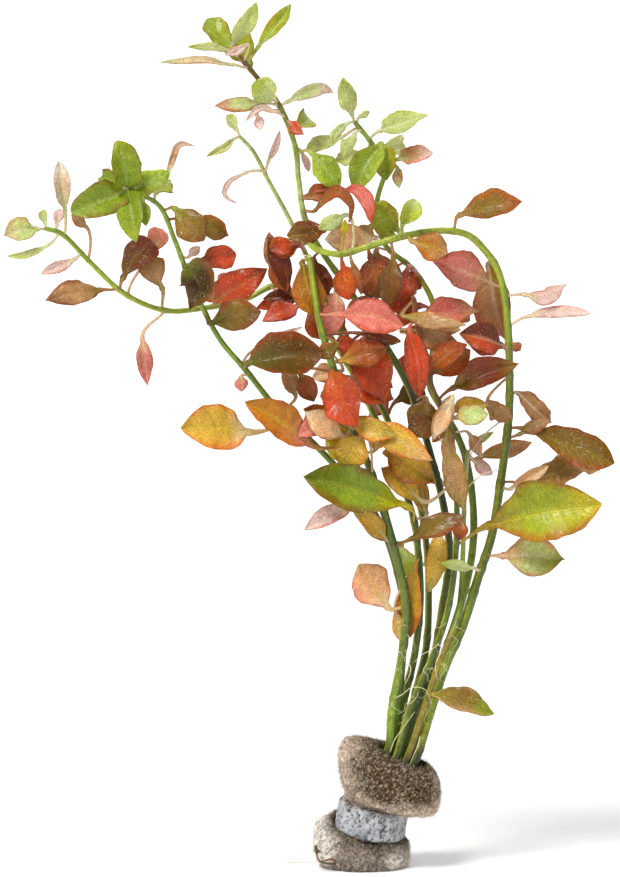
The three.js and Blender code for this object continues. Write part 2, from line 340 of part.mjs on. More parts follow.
  ["stem_back", [-12, 147], [[-18.7, 3, 144], [-24.2, 2.5, 158]], 5, 12, "o", "rust"],
  ["stem_back", [-11.2, 145.5], [[-17, 6, 144], [-25.7, 6, 142.3]], 3.5, 10, "o", "maroon"],
  ["stem_back", [-25.7, 174], [[-29.7, 4, 173.8], [-34.2, 3.3, 171.5], [-35.2, 2.7, 168.5],
    [-32, 2, 166]], 1.3, 0, "s", "pink"],
  ["stem_back", [-4, 129], [[-5.2, 12, 134.5], [-10.7, 16, 140.5]], 6, 0, "o", "brown"],
  ["stem_back", [5.5, 112.5], [[8.3, 12, 117], [14.8, 16, 120]], 6, 0, "o", "red"],
  ["stem_right_shoot", [6.3, 154.5], [[2.8, 3, 153.5], [4.3, 0, 142.5]], 8, 0, "o", "brown"],
  ["stem_right_shoot", [12, 149.8], [[12.3, 5, 148], [7, 2, 142]], 5.5, 0, "o", "rust"],
  ["stem_right_shoot", [10, 151.5], [[6.8, 6, 147], [11.3, 4, 137.5]], 6.5, 0, "o", "red"],
  ["stem_right_shoot", [22.8, 109], [[26.3, 6, 108.3], [29.3, 1.5, 102.5]], 3, 0, "o", "pale"],
  ["stem_right_shoot", [17.3, 137], [[20.3, 16, 137.5], [26.3, 20, 140.5]], 5.5, 0, "o", "olive"],
  ["stem_right_shoot", [16.5, 120], [[13.8, 17, 124], [8.3, 21, 127]], 6, 0, "o", "rust"],
  ["stem_arching", [36, 129.5], [[33.8, 6, 130.5], [25.3, 2, 132]], 7, 15, "o", "maroon"],
  ["stem_arching", [36.3, 123], [[31.3, 3, 115.5], [37, 1, 112]], 4, -10, "o", "tan"],
  ["stem_arching", [34.8, 107], [[38.8, 6, 108.5], [46.3, 4, 112]], 3.8, -15, "o", "brown"],
  ["stem_arching", [-3.2, 154.3], [[-5.2, -4, 163], [-11.7, -6, 159.3]], 4, 10, "o", "green"],
  ["stem_arching", [1.8, 155.5], [[2.5, -1, 157.5], [-10.2, -3, 157]], 6.5, 10, "o", "tan"],
  ["stem_arching", [7.8, 157.3], [[7, 0, 158], [1.3, -2, 166.3]], 6, 0, "o", "lime"],
  ["stem_arching", [13.8, 158.5], [[14.8, -2, 157], [20.5, -4, 155.5]], 5, -10, "o", "rust"],
  ["stem_middle", [12, 142], [[9.5, -6, 137.8], [25.3, -12.5, 135.5]], 4.5, -24, "o", "tan"],
  ["stem_middle", [13.3, 134.5], [[8.8, -3, 134.3], [23.3, -5, 131.3]], 5.5, -10, "o", "rust"],
  ["stem_middle", [14.8, 126.5], [[16.3, -3, 123.5], [26.3, -6, 129.5]], 6.5, -10, "o", "brown"],
  ["stem_middle", [18.8, 116.5], [[18, -6, 112], [10.5, -9, 109.5]], 6.5, 10, "o", "brown"],
  ["stem_middle", [19.5, 114.5], [[21, -8, 117], [17.3, -10, 107.8]], 3.8, 0, "o", "pink"],
  ["stem_middle", [20.3, 112], [[21.8, -4, 114.3], [30.8, -6, 116]], 5, -10, "o", "tan"],
  ["stem_middle", [21.3, 108.5], [[20.3, -6, 110], [22.3, -6, 98.5]], 3.3, 0, "s", "pale"],
  ["stem_middle", [22.8, 97], [[13.8, -5, 92], [4, -3.5, 100]], 5.5, 10, "o", "pale"],
  ["stem_upright", [-3, 143], [[-7.2, 0, 144], [-9.5, -2, 131.5]], 5.5, 0, "o", "red"],
  ["stem_upright", [-2, 141.5], [[2.8, -2, 142], [-5.5, -6, 138]], 4.5, 0, "o", "red"],
  ["stem_upright", [3.8, 132.8], [[-0.7, -3, 131], [4.8, -6, 116.5]], 9.5, 0, "o", "red"],
  ["stem_upright", [1.3, 136.5], [[-5, 4, 128], [7, 2, 120]], 7, 0, "o", "red"],
  ["stem_upright", [-16.5, 167.3], [[-5.2, -3, 169.3], [-2.2, -4.7, 169], [0.8, -6.3, 165.5],
    [1.5, -8, 160.8]], 3.5, 0, "s", "red"],
];

const SIGHT_DROP = Math.tan(THREE.MathUtils.degToRad(SIGHT_ANGLE));
const SIGHT_STRETCH = 1 / Math.cos(THREE.MathUtils.degToRad(SIGHT_ANGLE));
const TOWARDS_VIEWER = new THREE.Vector3(0, -1, 0);
const LEAF_FORM = { stalk: [0, 0.5], blade: [0, 0.2, 0.45, 0.7, 0.88], keelOnly: false };
const SPRIG_FORM = { stalk: [0], blade: [0, 0.5], keelOnly: true };
const CURVED_SPRIG_FORM = { stalk: [0], blade: [0, 0.35, 0.7], keelOnly: true };
const STEP_SAMPLES = 10;

const vector = (point) => new THREE.Vector3(...point);

// A point given by its height in the front view stands lower the further back it is
const seen = ([x, depth, height]) => new THREE.Vector3(x, depth, height * SIGHT_STRETCH - depth * SIGHT_DROP);

const axisLow = vector(AXIS_LOW);
const axisWay = vector(AXIS_HIGH).sub(axisLow).normalize();

const axisPoint = (level) => axisLow.clone().addScaledVector(axisWay, level);

// Solids

function toSolid(geometry) {
  geometry.deleteAttribute("normal");
  geometry.deleteAttribute("uv");
  const merged = mergeVertices(geometry, 1e-4);
  const index = merged.index.array;
  const triangles = [];
  for (let i = 0; i < index.length; i += 3) {
    const [a, b, c] = [index[i], index[i + 1], index[i + 2]];
    if (a !== b && b !== c && c !== a) triangles.push(a, b, c);
  }
  const vertProperties = new Float32Array(merged.attributes.position.array);
  const mesh = new wasm.Mesh({ numProp: 3, vertProperties, triVerts: new Uint32Array(triangles) });
  return new wasm.Manifold(mesh);
}

function toGeometry(solid) {
  const mesh = solid.getMesh();
  const geometry = new THREE.BufferGeometry();
  const size = mesh.numProp;
  const positions = new Float32Array((mesh.vertProperties.length / size) * 3);
  for (let i = 0; i < positions.length / 3; i += 1) {
    for (let k = 0; k < 3; k += 1) positions[i * 3 + k] = mesh.vertProperties[i * size + k];
  }
  geometry.setAttribute("position", new THREE.BufferAttribute(positions, 3));
  geometry.setIndex(new THREE.BufferAttribute(new Uint32Array(mesh.triVerts), 1));
  return geometry;
}

// A closed skin over rings of equal numbers of points, with a flat start and a pointed end
function loft(rings, apex) {
  const sides = rings[0].length;
  const points = rings.flat();
  const start = points.length;
  points.push(rings[0].reduce((sum, p) => sum.add(p), new THREE.Vector3()).divideScalar(sides), apex);
  const index = [];
  const last = (rings.length - 1) * sides;
  for (let s = 0; s < sides; s += 1) {
    const next = (s + 1) % sides;
    for (let r = 0; r < rings.length - 1; r += 1) {
      const [a, b] = [r * sides + s, r * sides + next];
      index.push(a, b + sides, b, a, a + sides, b + sides);
    }
    index.push(start, s, next);
    index.push(last + s, start + 1, last + next);
  }
  const geometry = new THREE.BufferGeometry().setFromPoints(points);
  geometry.setIndex(index);
  return geometry;
}

function place(geometry, point, way) {
  const turn = new THREE.Quaternion().setFromUnitVectors(new THREE.Vector3(0, 1, 0), way);
  return geometry.applyQuaternion(turn).translate(point.x, point.y, point.z);
}

// Stems

function bundlePoint(stem, level) {
  const point = axisPoint(level);
  if (stem.inner) return point;
  const turn = THREE.MathUtils.degToRad(stem.turn);
  const out = new THREE.Vector3(Math.cos(turn), Math.sin(turn), 0);
  out.addScaledVector(axisWay, -out.dot(axisWay)).normalize();
  return point.addScaledVector(out, BUNDLE_RADIUS);
}

function stemCurve(stem) {
  const inPlug = BUNDLE_LEVELS.map((level) => bundlePoint(stem, level));
  return new THREE.CatmullRomCurve3([...inPlug, ...stem.route.map(seen)], false, "centripetal");
}

function stemRadius(stem, share) {
  return THREE.MathUtils.lerp(stem.radius[0], stem.radius[1], share);
}

const stemSteps = (curve) => Math.round(curve.getLength() / STEM_STEP);

function stemTube(stem, curve) {
  const corners = Array.from({ length: STEM_SIDES }, (_, i) => {
    const turn = (i / STEM_SIDES) * 2 * Math.PI;
    return new THREE.Vector2(Math.cos(turn), Math.sin(turn));
  });
  const steps = stemSteps(curve);
  const options = { steps, bevelEnabled: false, extrudePath: curve };
  const tube = new THREE.ExtrudeGeometry(new THREE.Shape(corners), options);
  const centres = curve.getSpacedPoints(steps);
  const position = tube.attributes.position;
  const point = new THREE.Vector3();
  for (let i = 0; i < position.count; i += 1) {
    point.fromBufferAttribute(position, i);
    const gaps = centres.map((centre) => centre.distanceTo(point));
    const nearest = gaps.indexOf(Math.min(...gaps));
    const scaled = point.sub(centres[nearest]).multiplyScalar(stemRadius(stem, nearest / steps));
    scaled.add(centres[nearest]);
    position.setXYZ(i, scaled.x, scaled.y, scaled.z);
  }
  return tube;
}

// The place on a stem's faceted middle line that the front view shows nearest to [x, height]
function jointOn(stem, curve, [x, height]) {
  const steps = stemSteps(curve);
  const centres = curve.getSpacedPoints(steps);
  let best = { gap: Infinity };
  for (let i = 0; i <= steps * STEP_SAMPLES; i += 1) {
    const step = Math.min(Math.floor(i / STEP_SAMPLES), steps - 1);
    const point = centres[step].clone().lerp(centres[step + 1], i / STEP_SAMPLES - step);
    const gap = Math.hypot(point.x - x, (point.z + point.y * SIGHT_DROP) / SIGHT_STRETCH - height);
    if (gap >= best.gap) continue;
    const way = centres[step + 1].clone().sub(centres[step]).normalize();
    best = { gap, point, way, radius: stemRadius(stem, i / STEP_SAMPLES / steps) };
  }
  return best;
}

// Leaves

function outlineHalf(outline, share) {
  const { grow, fall } = outline;
  const widest = grow / (grow + fall);
  const form = (s) => s ** grow * (1 - s) ** fall;
  return share <= 0 ? 0 : form(share) / form(widest);
}

// A leaf stalk leaves its stem at a slant; one with a clearance starts that far off the stem's surface
function stalkCurve(joint, base, bladeStart, clearance) {
  const reach = base.clone().sub(joint.point);
  const rise = reach.dot(joint.way) < 0 ? -1 : 1;
  const out = reach.clone().addScaledVector(joint.way, -reach.dot(joint.way)).normalize();
  const slant = THREE.MathUtils.degToRad(STALK_ANGLE);
  const lead = out.clone().multiplyScalar(Math.sin(slant)).addScaledVector(joint.way, rise * Math.cos(slant));
  const start = joint.point.clone();
  if (clearance > 0) start.addScaledVector(out, joint.radius + clearance + STALK_HALF * Math.cos(slant));
  const third = start.distanceTo(base) / 3;
  const leaving = start.clone().addScaledVector(lead, third);
  const arriving = base.clone().addScaledVector(bladeStart, -third);
  return new THREE.CubicBezierCurve3(start, leaving, arriving, base);
}

function leafSolid(row, joint, clearance, form) {
  const [blade, width, turn, outlineKey] = row;
  const points = blade.map(seen);
  const [base, tip] = [points[0], points[points.length - 1]];
  const chord = tip.clone().sub(base);
  const along = chord.clone().normalize();
  const front = TOWARDS_VIEWER.clone().addScaledVector(along, -TOWARDS_VIEWER.dot(along)).normalize();
  const face = front.applyAxisAngle(along, THREE.MathUtils.degToRad(turn));
  if (points.length === 2) {
    const middle = base.clone().addScaledVector(chord, 0.5);
    points.splice(1, 0, middle.addScaledVector(face, chord.length() * LEAF_BOW));
  }
  const bladeCurve = new THREE.CatmullRomCurve3(points, false, "centripetal");
  const stalk = stalkCurve(joint, base, bladeCurve.getTangentAt(0), clearance);
  const section = (curve, share, half, fold) => {
    const tangent = curve.getTangentAt(share);
    const normal = face.clone().applyQuaternion(new THREE.Quaternion().setFromUnitVectors(along, tangent));
    const side = tangent.clone().cross(normal);
    const centre = curve.getPointAt(share);
    const corner = (across, up) =>
      centre.clone().addScaledVector(side, across * half).addScaledVector(normal, up);
    if (form.keelOnly) return [corner(-1, LEAF_HALF), corner(0, -LEAF_HALF), corner(1, LEAF_HALF)];
    return [corner(-1, fold * half), corner(0, -LEAF_HALF), corner(1, fold * half), corner(0, LEAF_HALF)];
  };
  const rings = form.stalk.map((share) => section(stalk, share, STALK_HALF, 0));
  for (const share of form.blade) {
    const half = Math.max(STALK_HALF, (width / 2) * outlineHalf(OUTLINES[outlineKey], share));
    rings.push(section(bladeCurve, share, half, share > 0 ? LEAF_FOLD : 0));
  }
  return toSolid(loft(rings, tip));
}

// Plug of mineral wool and its clay ring

// A rounded, boxy lump with upright sides, whose middle slopes and whose height grows along X and Y
function bulge({ radius, half, square, at, slope, swell }) {
  const outline = [];
  for (let i = 0; i <= BULGE_BANDS; i += 1) {
    const turn = Math.PI * (i / BULGE_BANDS - 0.5);
    const across = Math.cos(turn) ** (2 / square) * radius;
    const up = Math.sign(Math.sin(turn)) * Math.abs(Math.sin(turn)) ** (2 / square) * half;
    outline.push(new THREE.Vector2(i === 0 || i === BULGE_BANDS ? 0 : across, up));
  }
  const upright = new THREE.LatheGeometry(outline, BULGE_SIDES).rotateX(Math.PI / 2);
  const position = upright.attributes.position;
  for (let i = 0; i < position.count; i += 1) {
    const grown = 1 + swell[0] * position.getX(i) + swell[1] * position.getY(i);
    position.setZ(i, position.getZ(i) * grown);
  }
  const [x, y, z] = at;
  const lean = new THREE.Matrix4().set(1, 0, 0, x, 0, 1, 0, y, slope[0], slope[1], 1, z, 0, 0, 0, 1);
  return upright.applyMatrix4(lean);
}

function ringGeometry(grow) {
  const { outer, inner, height, round, at, lean } = RING;
  const [out, bore, half] = [outer + grow, inner - grow, height / 2 + grow];
  const outline = [
    [bore, -half], [out - round, -half], [out, round - half], [out, half - round], [out - round, half],
    [bore, half], [bore, -half],
  ].map(([across, up]) => new THREE.Vector2(across, up));
  const way = new THREE.Vector3(...lean, 1).normalize();
  return place(new THREE.LatheGeometry(outline, RING_SIDES), new THREE.Vector3(...at), way);
}

function foamPlug() {
  const upper = toSolid(bulge(UPPER_BULGE));
  const lower = toSolid(bulge(LOWER_BULGE));
  const waistForm = new THREE.CylinderGeometry(WAIST.radius, WAIST.radius, WAIST.height, CHANNEL.sides);
  const waist = toSolid(place(waistForm, axisPoint(WAIST.height / 2), axisWay));
  const { low, high, floor: channelFloor, top, sides } = CHANNEL;
  const channelForm = new THREE.CylinderGeometry(high, low, top - channelFloor, sides);
  const channel = toSolid(place(channelForm, axisPoint((top + channelFloor) / 2), axisWay));
  const floorForm = new THREE.BoxGeometry(2 * FOOT_DEPTH, 2 * FOOT_DEPTH, FOOT_DEPTH);
  const floor = toSolid(floorForm.translate(0, 0, -FOOT_DEPTH / 2));
  return upper.add(lower).add(waist).subtract(toSolid(ringGeometry(GAP))).subtract(channel).subtract(floor);
}

// The whole plant

const material = (colour, roughness) => new THREE.MeshStandardMaterial({ color: colour, roughness, metalness: 0 });

function addPiece(group, name, solid, colour, roughness) {
  const mesh = new THREE.Mesh(toGeometry(solid.asOriginal().simplify(FLATNESS)), material(colour, roughness));
  mesh.name = name;
  group.add(mesh);
}

function buildPlant() {
  const plant = new THREE.Group();
  addPiece(plant, "foam_plug", foamPlug(), COLOURS.foam, 0.95);
  addPiece(plant, "weight_ring", toSolid(ringGeometry(0)), COLOURS.clay, 0.8);
  for (const [name, stem] of Object.entries(STEMS)) {
    const curve = stemCurve(stem);
    let solid = toSolid(stemTube(stem, curve));
    for (const [grower, joint, ...row] of SPRIGS) {
      if (grower !== name) continue;
      const at = jointOn(stem, curve, joint);
      const straight = row[0].length === 2;
      solid = solid.add(leafSolid(row, at, 0, straight ? SPRIG_FORM : CURVED_SPRIG_FORM));
    }
    addPiece(plant, name, solid, COLOURS.stem, 0.5);
  }
  for (const [name, grower, joint, ...row] of LEAVES) {
    const stem = STEMS[grower];
    const at = jointOn(stem, stemCurve(stem), joint);
    addPiece(plant, name, leafSolid(row, at, GAP, LEAF_FORM), COLOURS[row[row.length - 1]], 0.55);
  }
  return plant;
}

export default buildPlant();
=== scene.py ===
"""A bunch of ludwigia in its weighted plug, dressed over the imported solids.

Lengths are millimetres until a mesh is built. A point is its x to the right, its depth, and the height that
the front view shows it at.
"""

import logging
import math
import random
from collections.abc import Callable, Sequence
from dataclasses import dataclass, field
from enum import Enum

import bpy
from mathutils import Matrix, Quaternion, Vector, noise

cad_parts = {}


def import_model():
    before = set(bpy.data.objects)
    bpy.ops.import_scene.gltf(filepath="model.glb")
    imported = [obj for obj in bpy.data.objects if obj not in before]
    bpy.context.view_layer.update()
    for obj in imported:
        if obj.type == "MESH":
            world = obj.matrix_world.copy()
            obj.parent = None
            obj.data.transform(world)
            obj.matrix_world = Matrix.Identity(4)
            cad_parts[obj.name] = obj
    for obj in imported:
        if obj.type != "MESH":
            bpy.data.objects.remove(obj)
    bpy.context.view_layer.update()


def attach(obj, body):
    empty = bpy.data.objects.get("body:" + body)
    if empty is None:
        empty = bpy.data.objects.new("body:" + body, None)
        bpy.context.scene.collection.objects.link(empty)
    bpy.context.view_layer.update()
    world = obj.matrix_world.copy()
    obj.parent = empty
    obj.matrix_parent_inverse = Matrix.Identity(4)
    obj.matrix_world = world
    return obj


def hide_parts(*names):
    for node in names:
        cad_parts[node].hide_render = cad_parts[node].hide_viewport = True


MM = 0.001
SIGHT_ANGLE = math.radians(6)
LOG = logging.getLogger("ludwigia")

Tint = tuple[float, float, float]
Route = tuple[tuple[float, float, float], ...]
Socket = bpy.types.NodeSocket
Material = bpy.types.Material
Piece = bpy.types.Object


class Pigment(Enum):
    """The colours of the plant, the wool and the clay."""

    FERN = "#7b901a"
    GRASS = "#7c9622"
    IVY = "#586c1a"
    LIME = "#929e24"
    MINT = "#acb870"
    MOSS = "#5f6a12"
    DEEP = "#2a380a"
    OLIVE = "#7b5f16"
    DARK_OLIVE = "#57420a"
    KHAKI = "#8d7a1c"
    GOLD = "#aca008"
    YELLOW = "#b9ae2a"
    HONEY = "#b8942e"
    AMBER = "#a46a12"
    ORANGE = "#c05e1a"
    TAN = "#a17a4c"
    SAND = "#cab28a"
    CREAM = "#e6ddbc"
    PEACH = "#cf9c6c"
    PINK = "#bb6f5e"
    BLUSH = "#ccaea4"
    CORAL = "#d07060"
    RED = "#b54018"
    BRICK = "#863510"
    RUST = "#984c14"
    MAROON = "#652810"
    DARK_MAROON = "#3f170c"
    BROWN = "#69400e"
    UMBER = "#37260f"
    GREY = "#7d7f83"
    WHITE = "#d0d1d3"
    FELT = "#b09a80"
    SOIL = "#553c2a"
    ASH = "#8f8478"
    BONE = "#ece4d8"
    FLEECE = "#dfc8b2"
    PITCH = "#26231f"

    def tint(self) -> Tint:
        """Gives the pigment as linear light.

        Returns:
            Its red, green and blue.
        """
        values = [int(self.value[i : i + 2], 16) / 255 for i in (1, 3, 5)]
        red, green, blue = [v / 12.92 if v <= 0.04045 else ((v + 0.055) / 1.055) ** 2.4 for v in values]
        return red, green, blue


class Outline(Enum):
    """How a blade's width grows from its base and falls to its tip."""

    OVATE = (0.98, 1.08)
    ROUND = (0.72, 0.58)
    STRAP = (0.8, 0.95)
    BROAD = (0.5, 0.66)
    FUNNEL = (1.3, 0.42)
    WEDGE = (1.4, 1.0)

    def half(self, share: float, wedge: float = 1.0, point: float = 1.0) -> float:
        """Gives the half width at a share of the length, where the widest place is 1.

        Args:
            share: the share of the length.
            wedge: above 1, the base is narrower.
            point: above 1, the tip is narrower.

        Returns:
            The half width.
        """
        grow, fall = self.value[0] * wedge, self.value[1] * point
        widest = grow / (grow + fall)
        peak = widest**grow * (1 - widest) ** fall
        return max(share, 0.0) ** grow * max(1 - share, 0.0) ** fall / peak


def tints(coat: str) -> list[Tint]:
    """Gives the tints of the pigments that a coat names."""
    return [Pigment[word].tint() for word in coat.split()]


def mix(first: Tint, second: Tint, share: float) -> Tint:
    """Blends two tints.

    Args:
        first: the one tint.
        second: the other tint.
        share: how much of the second, from 0 to 1.

    Returns:
        The blend.
    """
    share = min(max(share, 0.0), 1.0)
    red, green, blue = [a + (b - a) * share for a, b in zip(first, second)]
    return red, green, blue


def shade(tint: Tint, factor: float) -> Tint:
    """Makes a tint lighter or darker."""
    return tint[0] * factor, tint[1] * factor, tint[2] * factor


def smooth(low: float, high: float, value: float) -> float:
    """Rises softly from 0 at low to 1 at high."""
    share = min(max((value - low) / (high - low), 0.0), 1.0)
    return share * share * (3 - 2 * share)


def grain(point: Vector, size: float, seed: float = 0.0) -> float:
    """Gives soft noise from -1 to 1 whose lumps are about size wide."""
    return noise.noise(point / size + Vector((seed, seed * 1.7, -seed)))


def seen(point: Sequence[float]) -> Vector:
    """Turns x, depth and seen height into a place in the part's frame."""
    x, depth, height = point
    return Vector((x, depth, height / math.cos(SIGHT_ANGLE) - depth * math.tan(SIGHT_ANGLE)))


def seen_height(place: Vector) -> float:
    """Gives the height at which the front view shows a place."""
    return (place.z + place.y * math.tan(SIGHT_ANGLE)) * math.cos(SIGHT_ANGLE)


class Path:
    """A smooth line through given places, measured along its length."""

    PER_SPAN = 14
    SHORTEST = 1e-4
    HALF_STEP = 0.4

    def __init__(self, places: Sequence[Vector]) -> None:
        """Samples the line.

        Args:
            places: the places that the line runs through, at least two.
        """
        ends = [2 * places[0] - places[1], *places, 2 * places[-1] - places[-2]]
        self.places: list[Vector] = [places[0].copy()]
        for before, first, second, after in zip(ends, ends[1:], ends[2:], ends[3:]):
            steps = ((before, first), (first, second), (second, after))
            gaps = [max((b - a).length, self.SHORTEST) ** 0.5 for a, b in steps]
            self.places += self._span(before, first, second, after, gaps)
        self.lengths = [0.0]
        for first, second in zip(self.places, self.places[1:]):
            self.lengths.append(self.lengths[-1] + (second - first).length)
        self.length = self.lengths[-1]

    def _span(self, before: Vector, first: Vector, second: Vector, after: Vector, gaps: list[float]) -> list[Vector]:
        """Samples the stretch between two of the places.

        Args:
            before: the place before the stretch.
            first: where the stretch starts.
            second: where it ends.
            after: the place after it.
            gaps: how far apart these four count, in their order.

        Returns:
            The samples after the first place.
        """
        low, mid, high = gaps
        leave = (first - before) / low - (second - before) / (low + mid) + (second - first) / mid
        arrive = (second - first) / mid - (after - first) / (mid + high) + (after - second) / high
        leave, arrive = leave * mid, arrive * mid
        samples = []
        for i in range(1, self.PER_SPAN + 1):
            t = i / self.PER_SPAN
            bend = (2 * first - 2 * second + leave + arrive) * t + (3 * second - 3 * first - 2 * leave - arrive)
            samples.append((bend * t + leave) * t + first)
        return samples

    def at(self, share: float) -> Vector:
        """Gives the place at a share of the length.

        Args:
            share: the share, which is held between 0 and 1.

        Returns:
            The place.
        """
        target = min(max(share, 0.0), 1.0) * self.length
        low, high = 0, len(self.lengths) - 1
        while high - low > 1:
            middle = (low + high) // 2
            if self.lengths[middle] <= target:
                low = middle
            else:
                high = middle
        span = max(self.lengths[high] - self.lengths[low], 1e-9)
        return self.places[low].lerp(self.places[high], (target - self.lengths[low]) / span)

    def way(self, share: float) -> Vector:
        """Gives the direction of growth at a share of the length."""
        step = self.HALF_STEP / self.length
        return (self.at(share + step) - self.at(share - step)).normalized()

    def nearest_seen(self, x: float, height: float) -> float:
        """Gives the share of the length where the front view shows the line nearest to a point."""
        gaps = [math.hypot(p.x - x, seen_height(p) - height) for p in self.places]
        return self.lengths[gaps.index(min(gaps))] / self.length


@dataclass
class Skin:
    """Points, faces, surface places and tints that become one mesh."""

    points: list[Vector] = field(default_factory=list)
    faces: list[tuple[int, ...]] = field(default_factory=list)
    places: list[tuple[float, float]] = field(default_factory=list)
    tints: list[Tint] = field(default_factory=list)

    def add(self, point: Vector, place: tuple[float, float], tint: Tint) -> int:
        """Adds a point.

        Args:
            point: where it is.
            place: its place on the surface.
            tint: its tint.

        Returns:
            Its number.
        """
        self.points.append(point)
        self.places.append(place)
        self.tints.append(tint)
        return len(self.points) - 1

    def bridge(self, first: Sequence[int], second: Sequence[int], closed: bool) -> None:
        """Joins two rows of equally many points with faces.

        Args:
            first: the numbers of the one row.
            second: the numbers of the other row.
            closed: whether the rows run round to their start.
        """
        count = len(first) if closed else len(first) - 1
        for i in range(count):
            j = (i + 1) % len(first)
            self.faces.append((first[i], first[j], second[j], second[i]))

    def tube(self, line: Path, radius: Callable[[float], float], tint: Callable[[float, float, Vector], Tint],
             sides: int, step: float) -> None:
        """Adds a closed tube along a line.

        Args:
            line: the tube's middle.
            radius: gives the radius at a share of the length.
            tint: gives the tint from the share, the share round the tube and the place.
            sides: faces round the tube.
            step: length of one band.
        """
        bands = max(int(line.length / step), 3)
        up = line.way(0).orthogonal().normalized()
        rings: list[list[int]] = []
        for i in range(bands + 1):
            share = i / bands
            way = line.way(share)
            up = (up - way * up.dot(way)).normalized()
            side = way.cross(up)
            ring = []
            for k in range(sides):
                turn = 2 * math.pi * k / sides
                out = up * math.cos(turn) + side * math.sin(turn)
                point = line.at(share) + out * radius(share)
                ring.append(self.add(point, (share * line.length, k / sides), tint(share, k / sides, point)))
            rings.append(ring)
        for first, second in zip(rings, rings[1:]):
            self.bridge(first, second, closed=True)
        self.faces.append(tuple(reversed(rings[0])))
        self.faces.append(tuple(rings[-1]))

    def build(self, name: str, material: Material) -> Piece:
        """Makes the mesh object.

        Args:
            name: the piece's name.
            material: what it is dressed in.

        Returns:
            The object, which sits at the origin.
        """
        mesh = bpy.data.meshes.new(name)
        mesh.from_pydata([p * MM for p in self.points], [], self.faces)
        mesh.update()
        uv = mesh.uv_layers.new(name="surface")
        corners = [0] * len(mesh.loops)
        mesh.loops.foreach_get("vertex_index", corners)
        uv.data.foreach_set("uv", [value for i in corners for value in self.places[i]])
        tint = mesh.color_attributes.new(name="tint", type="FLOAT_COLOR", domain="POINT")
        tint.data.foreach_set("color", [value for t in self.tints for value in (*t, 1.0)])
        mesh.polygons.foreach_set("use_smooth", [True] * len(mesh.polygons))
        mesh.materials.append(material)
        piece = bpy.data.objects.new(name, mesh)
        bpy.context.collection.objects.link(piece)
        return piece


class Weaver:
    """Lays out the nodes of one material."""

    def __init__(self, name: str) -> None:
        """Starts a material with one main shader.

        Args:
            name: the material's name.
        """
        self.material = bpy.data.materials.new(name)
        self.material.use_nodes = True
        self.tree = self.material.node_tree
        self.shader = self.tree.nodes["Principled BSDF"]

    def node(self, kind: str, links: dict[str | int, Socket | float | tuple] | None = None,
             **settings: object) -> bpy.types.Node:
        """Adds a node.

        Args:
            kind: Blender's name of the node type, without its ShaderNode prefix.
            links: for each input, a socket that feeds it or a value.
            settings: the node's own settings.

        Returns:
            The node.
        """
        node = self.tree.nodes.new("ShaderNode" + kind)
        for key, value in settings.items():
            setattr(node, key, value)
        for key, value in (links or {}).items():
            if isinstance(value, Socket):
                self.tree.links.new(value, node.inputs[key])
            else:
                node.inputs[key].default_value = value
        return node

    def math(self, operation: str, first: Socket | float, second: Socket | float = 0.0) -> Socket:
        """Adds one sum and gives its result."""
        return self.node("Math", {0: first, 1: second}, operation=operation).outputs[0]

    def times(self, first: Socket | float, second: Socket | float) -> Socket:
        """Adds a product and gives its result."""
        return self.math("MULTIPLY", first, second)

    def tint(self) -> Socket:
        """Gives the tint that the mesh carries."""
        return self.node("Attribute", attribute_name="tint").outputs["Color"]

    def lumps(self, scale: float, detail: float = 4.0, stretch: tuple[float, float, float] = (1, 1, 1),
              rough: float = 0.55) -> Socket:
        """Gives cloudy noise over the piece.

        Args:
            scale: lumps to a metre.
            detail: how many finer layers it has.
            stretch: factors of the scale, for each axis.
            rough: the weight of the finer layers.

        Returns:
            The noise, from 0 to 1.
        """
        place = self.node("TexCoord").outputs["Object"]
        mapped = self.node("Mapping", {"Vector": place, "Scale": stretch}).outputs[0]
        links = {"Vector": mapped, "Scale": scale, "Detail": detail, "Roughness": rough}
        return self.node("TexNoise", links).outputs["Fac"]

    def specks(self, scale: float, size: float, share: float) -> Socket:
        """Gives small dots, 1 inside a dot.

        Args:
            scale: cells to a metre.
            size: a dot's radius, of a cell.
            share: the share of cells that hold a dot.

        Returns:
            The dots.
        """
        place = self.node("TexCoord").outputs["Object"]
        cells = self.node("TexVoronoi", {"Vector": place, "Scale": scale})
        inside = self.math("LESS_THAN", cells.outputs["Distance"], size)
        chosen = self.node("SeparateColor", {0: cells.outputs["Color"]}).outputs[0]
        return self.times(inside, self.math("LESS_THAN", chosen, share))

    def ramp(self, value: Socket, low: float, high: float, bottom: float = 0.0, top: float = 1.0) -> Socket:
        """Maps low to bottom and high to top, and holds both ends."""
        links = {"Value": value, "From Min": low, "From Max": high, "To Min": bottom, "To Max": top}
        return self.node("MapRange", links, interpolation_type="SMOOTHSTEP").outputs[0]

    def blend(self, share: Socket, first: Socket | tuple, second: Socket | tuple) -> Socket:
        """Blends two colours; a share of 1 is all of the second."""
        return self.node("Mix", {0: share, 6: first, 7: second}, data_type="RGBA").outputs[2]

    def scaled(self, colour: Socket, factor: Socket | float) -> Socket:
        """Makes a colour lighter or darker."""
        return self.node("VectorMath", {0: colour, 3: factor}, operation="SCALE").outputs[0]

    def bump(self, height: Socket, strength: float, distance: float) -> None:
        """Raises the surface by a height, in metres at most distance."""
        links = {"Height": height, "Strength": strength, "Distance": distance}
        self.feed("Normal", self.node("Bump", links).outputs[0])

    def feed(self, key: str, value: Socket | float | tuple) -> None:
        """Feeds one of the main shader's inputs.

        Args:
            key: the input's name.
            value: a socket that feeds it, or a value.
        """
        if isinstance(value, Socket):
            self.tree.links.new(value, self.shader.inputs[key])
        else:
            self.shader.inputs[key].default_value = value


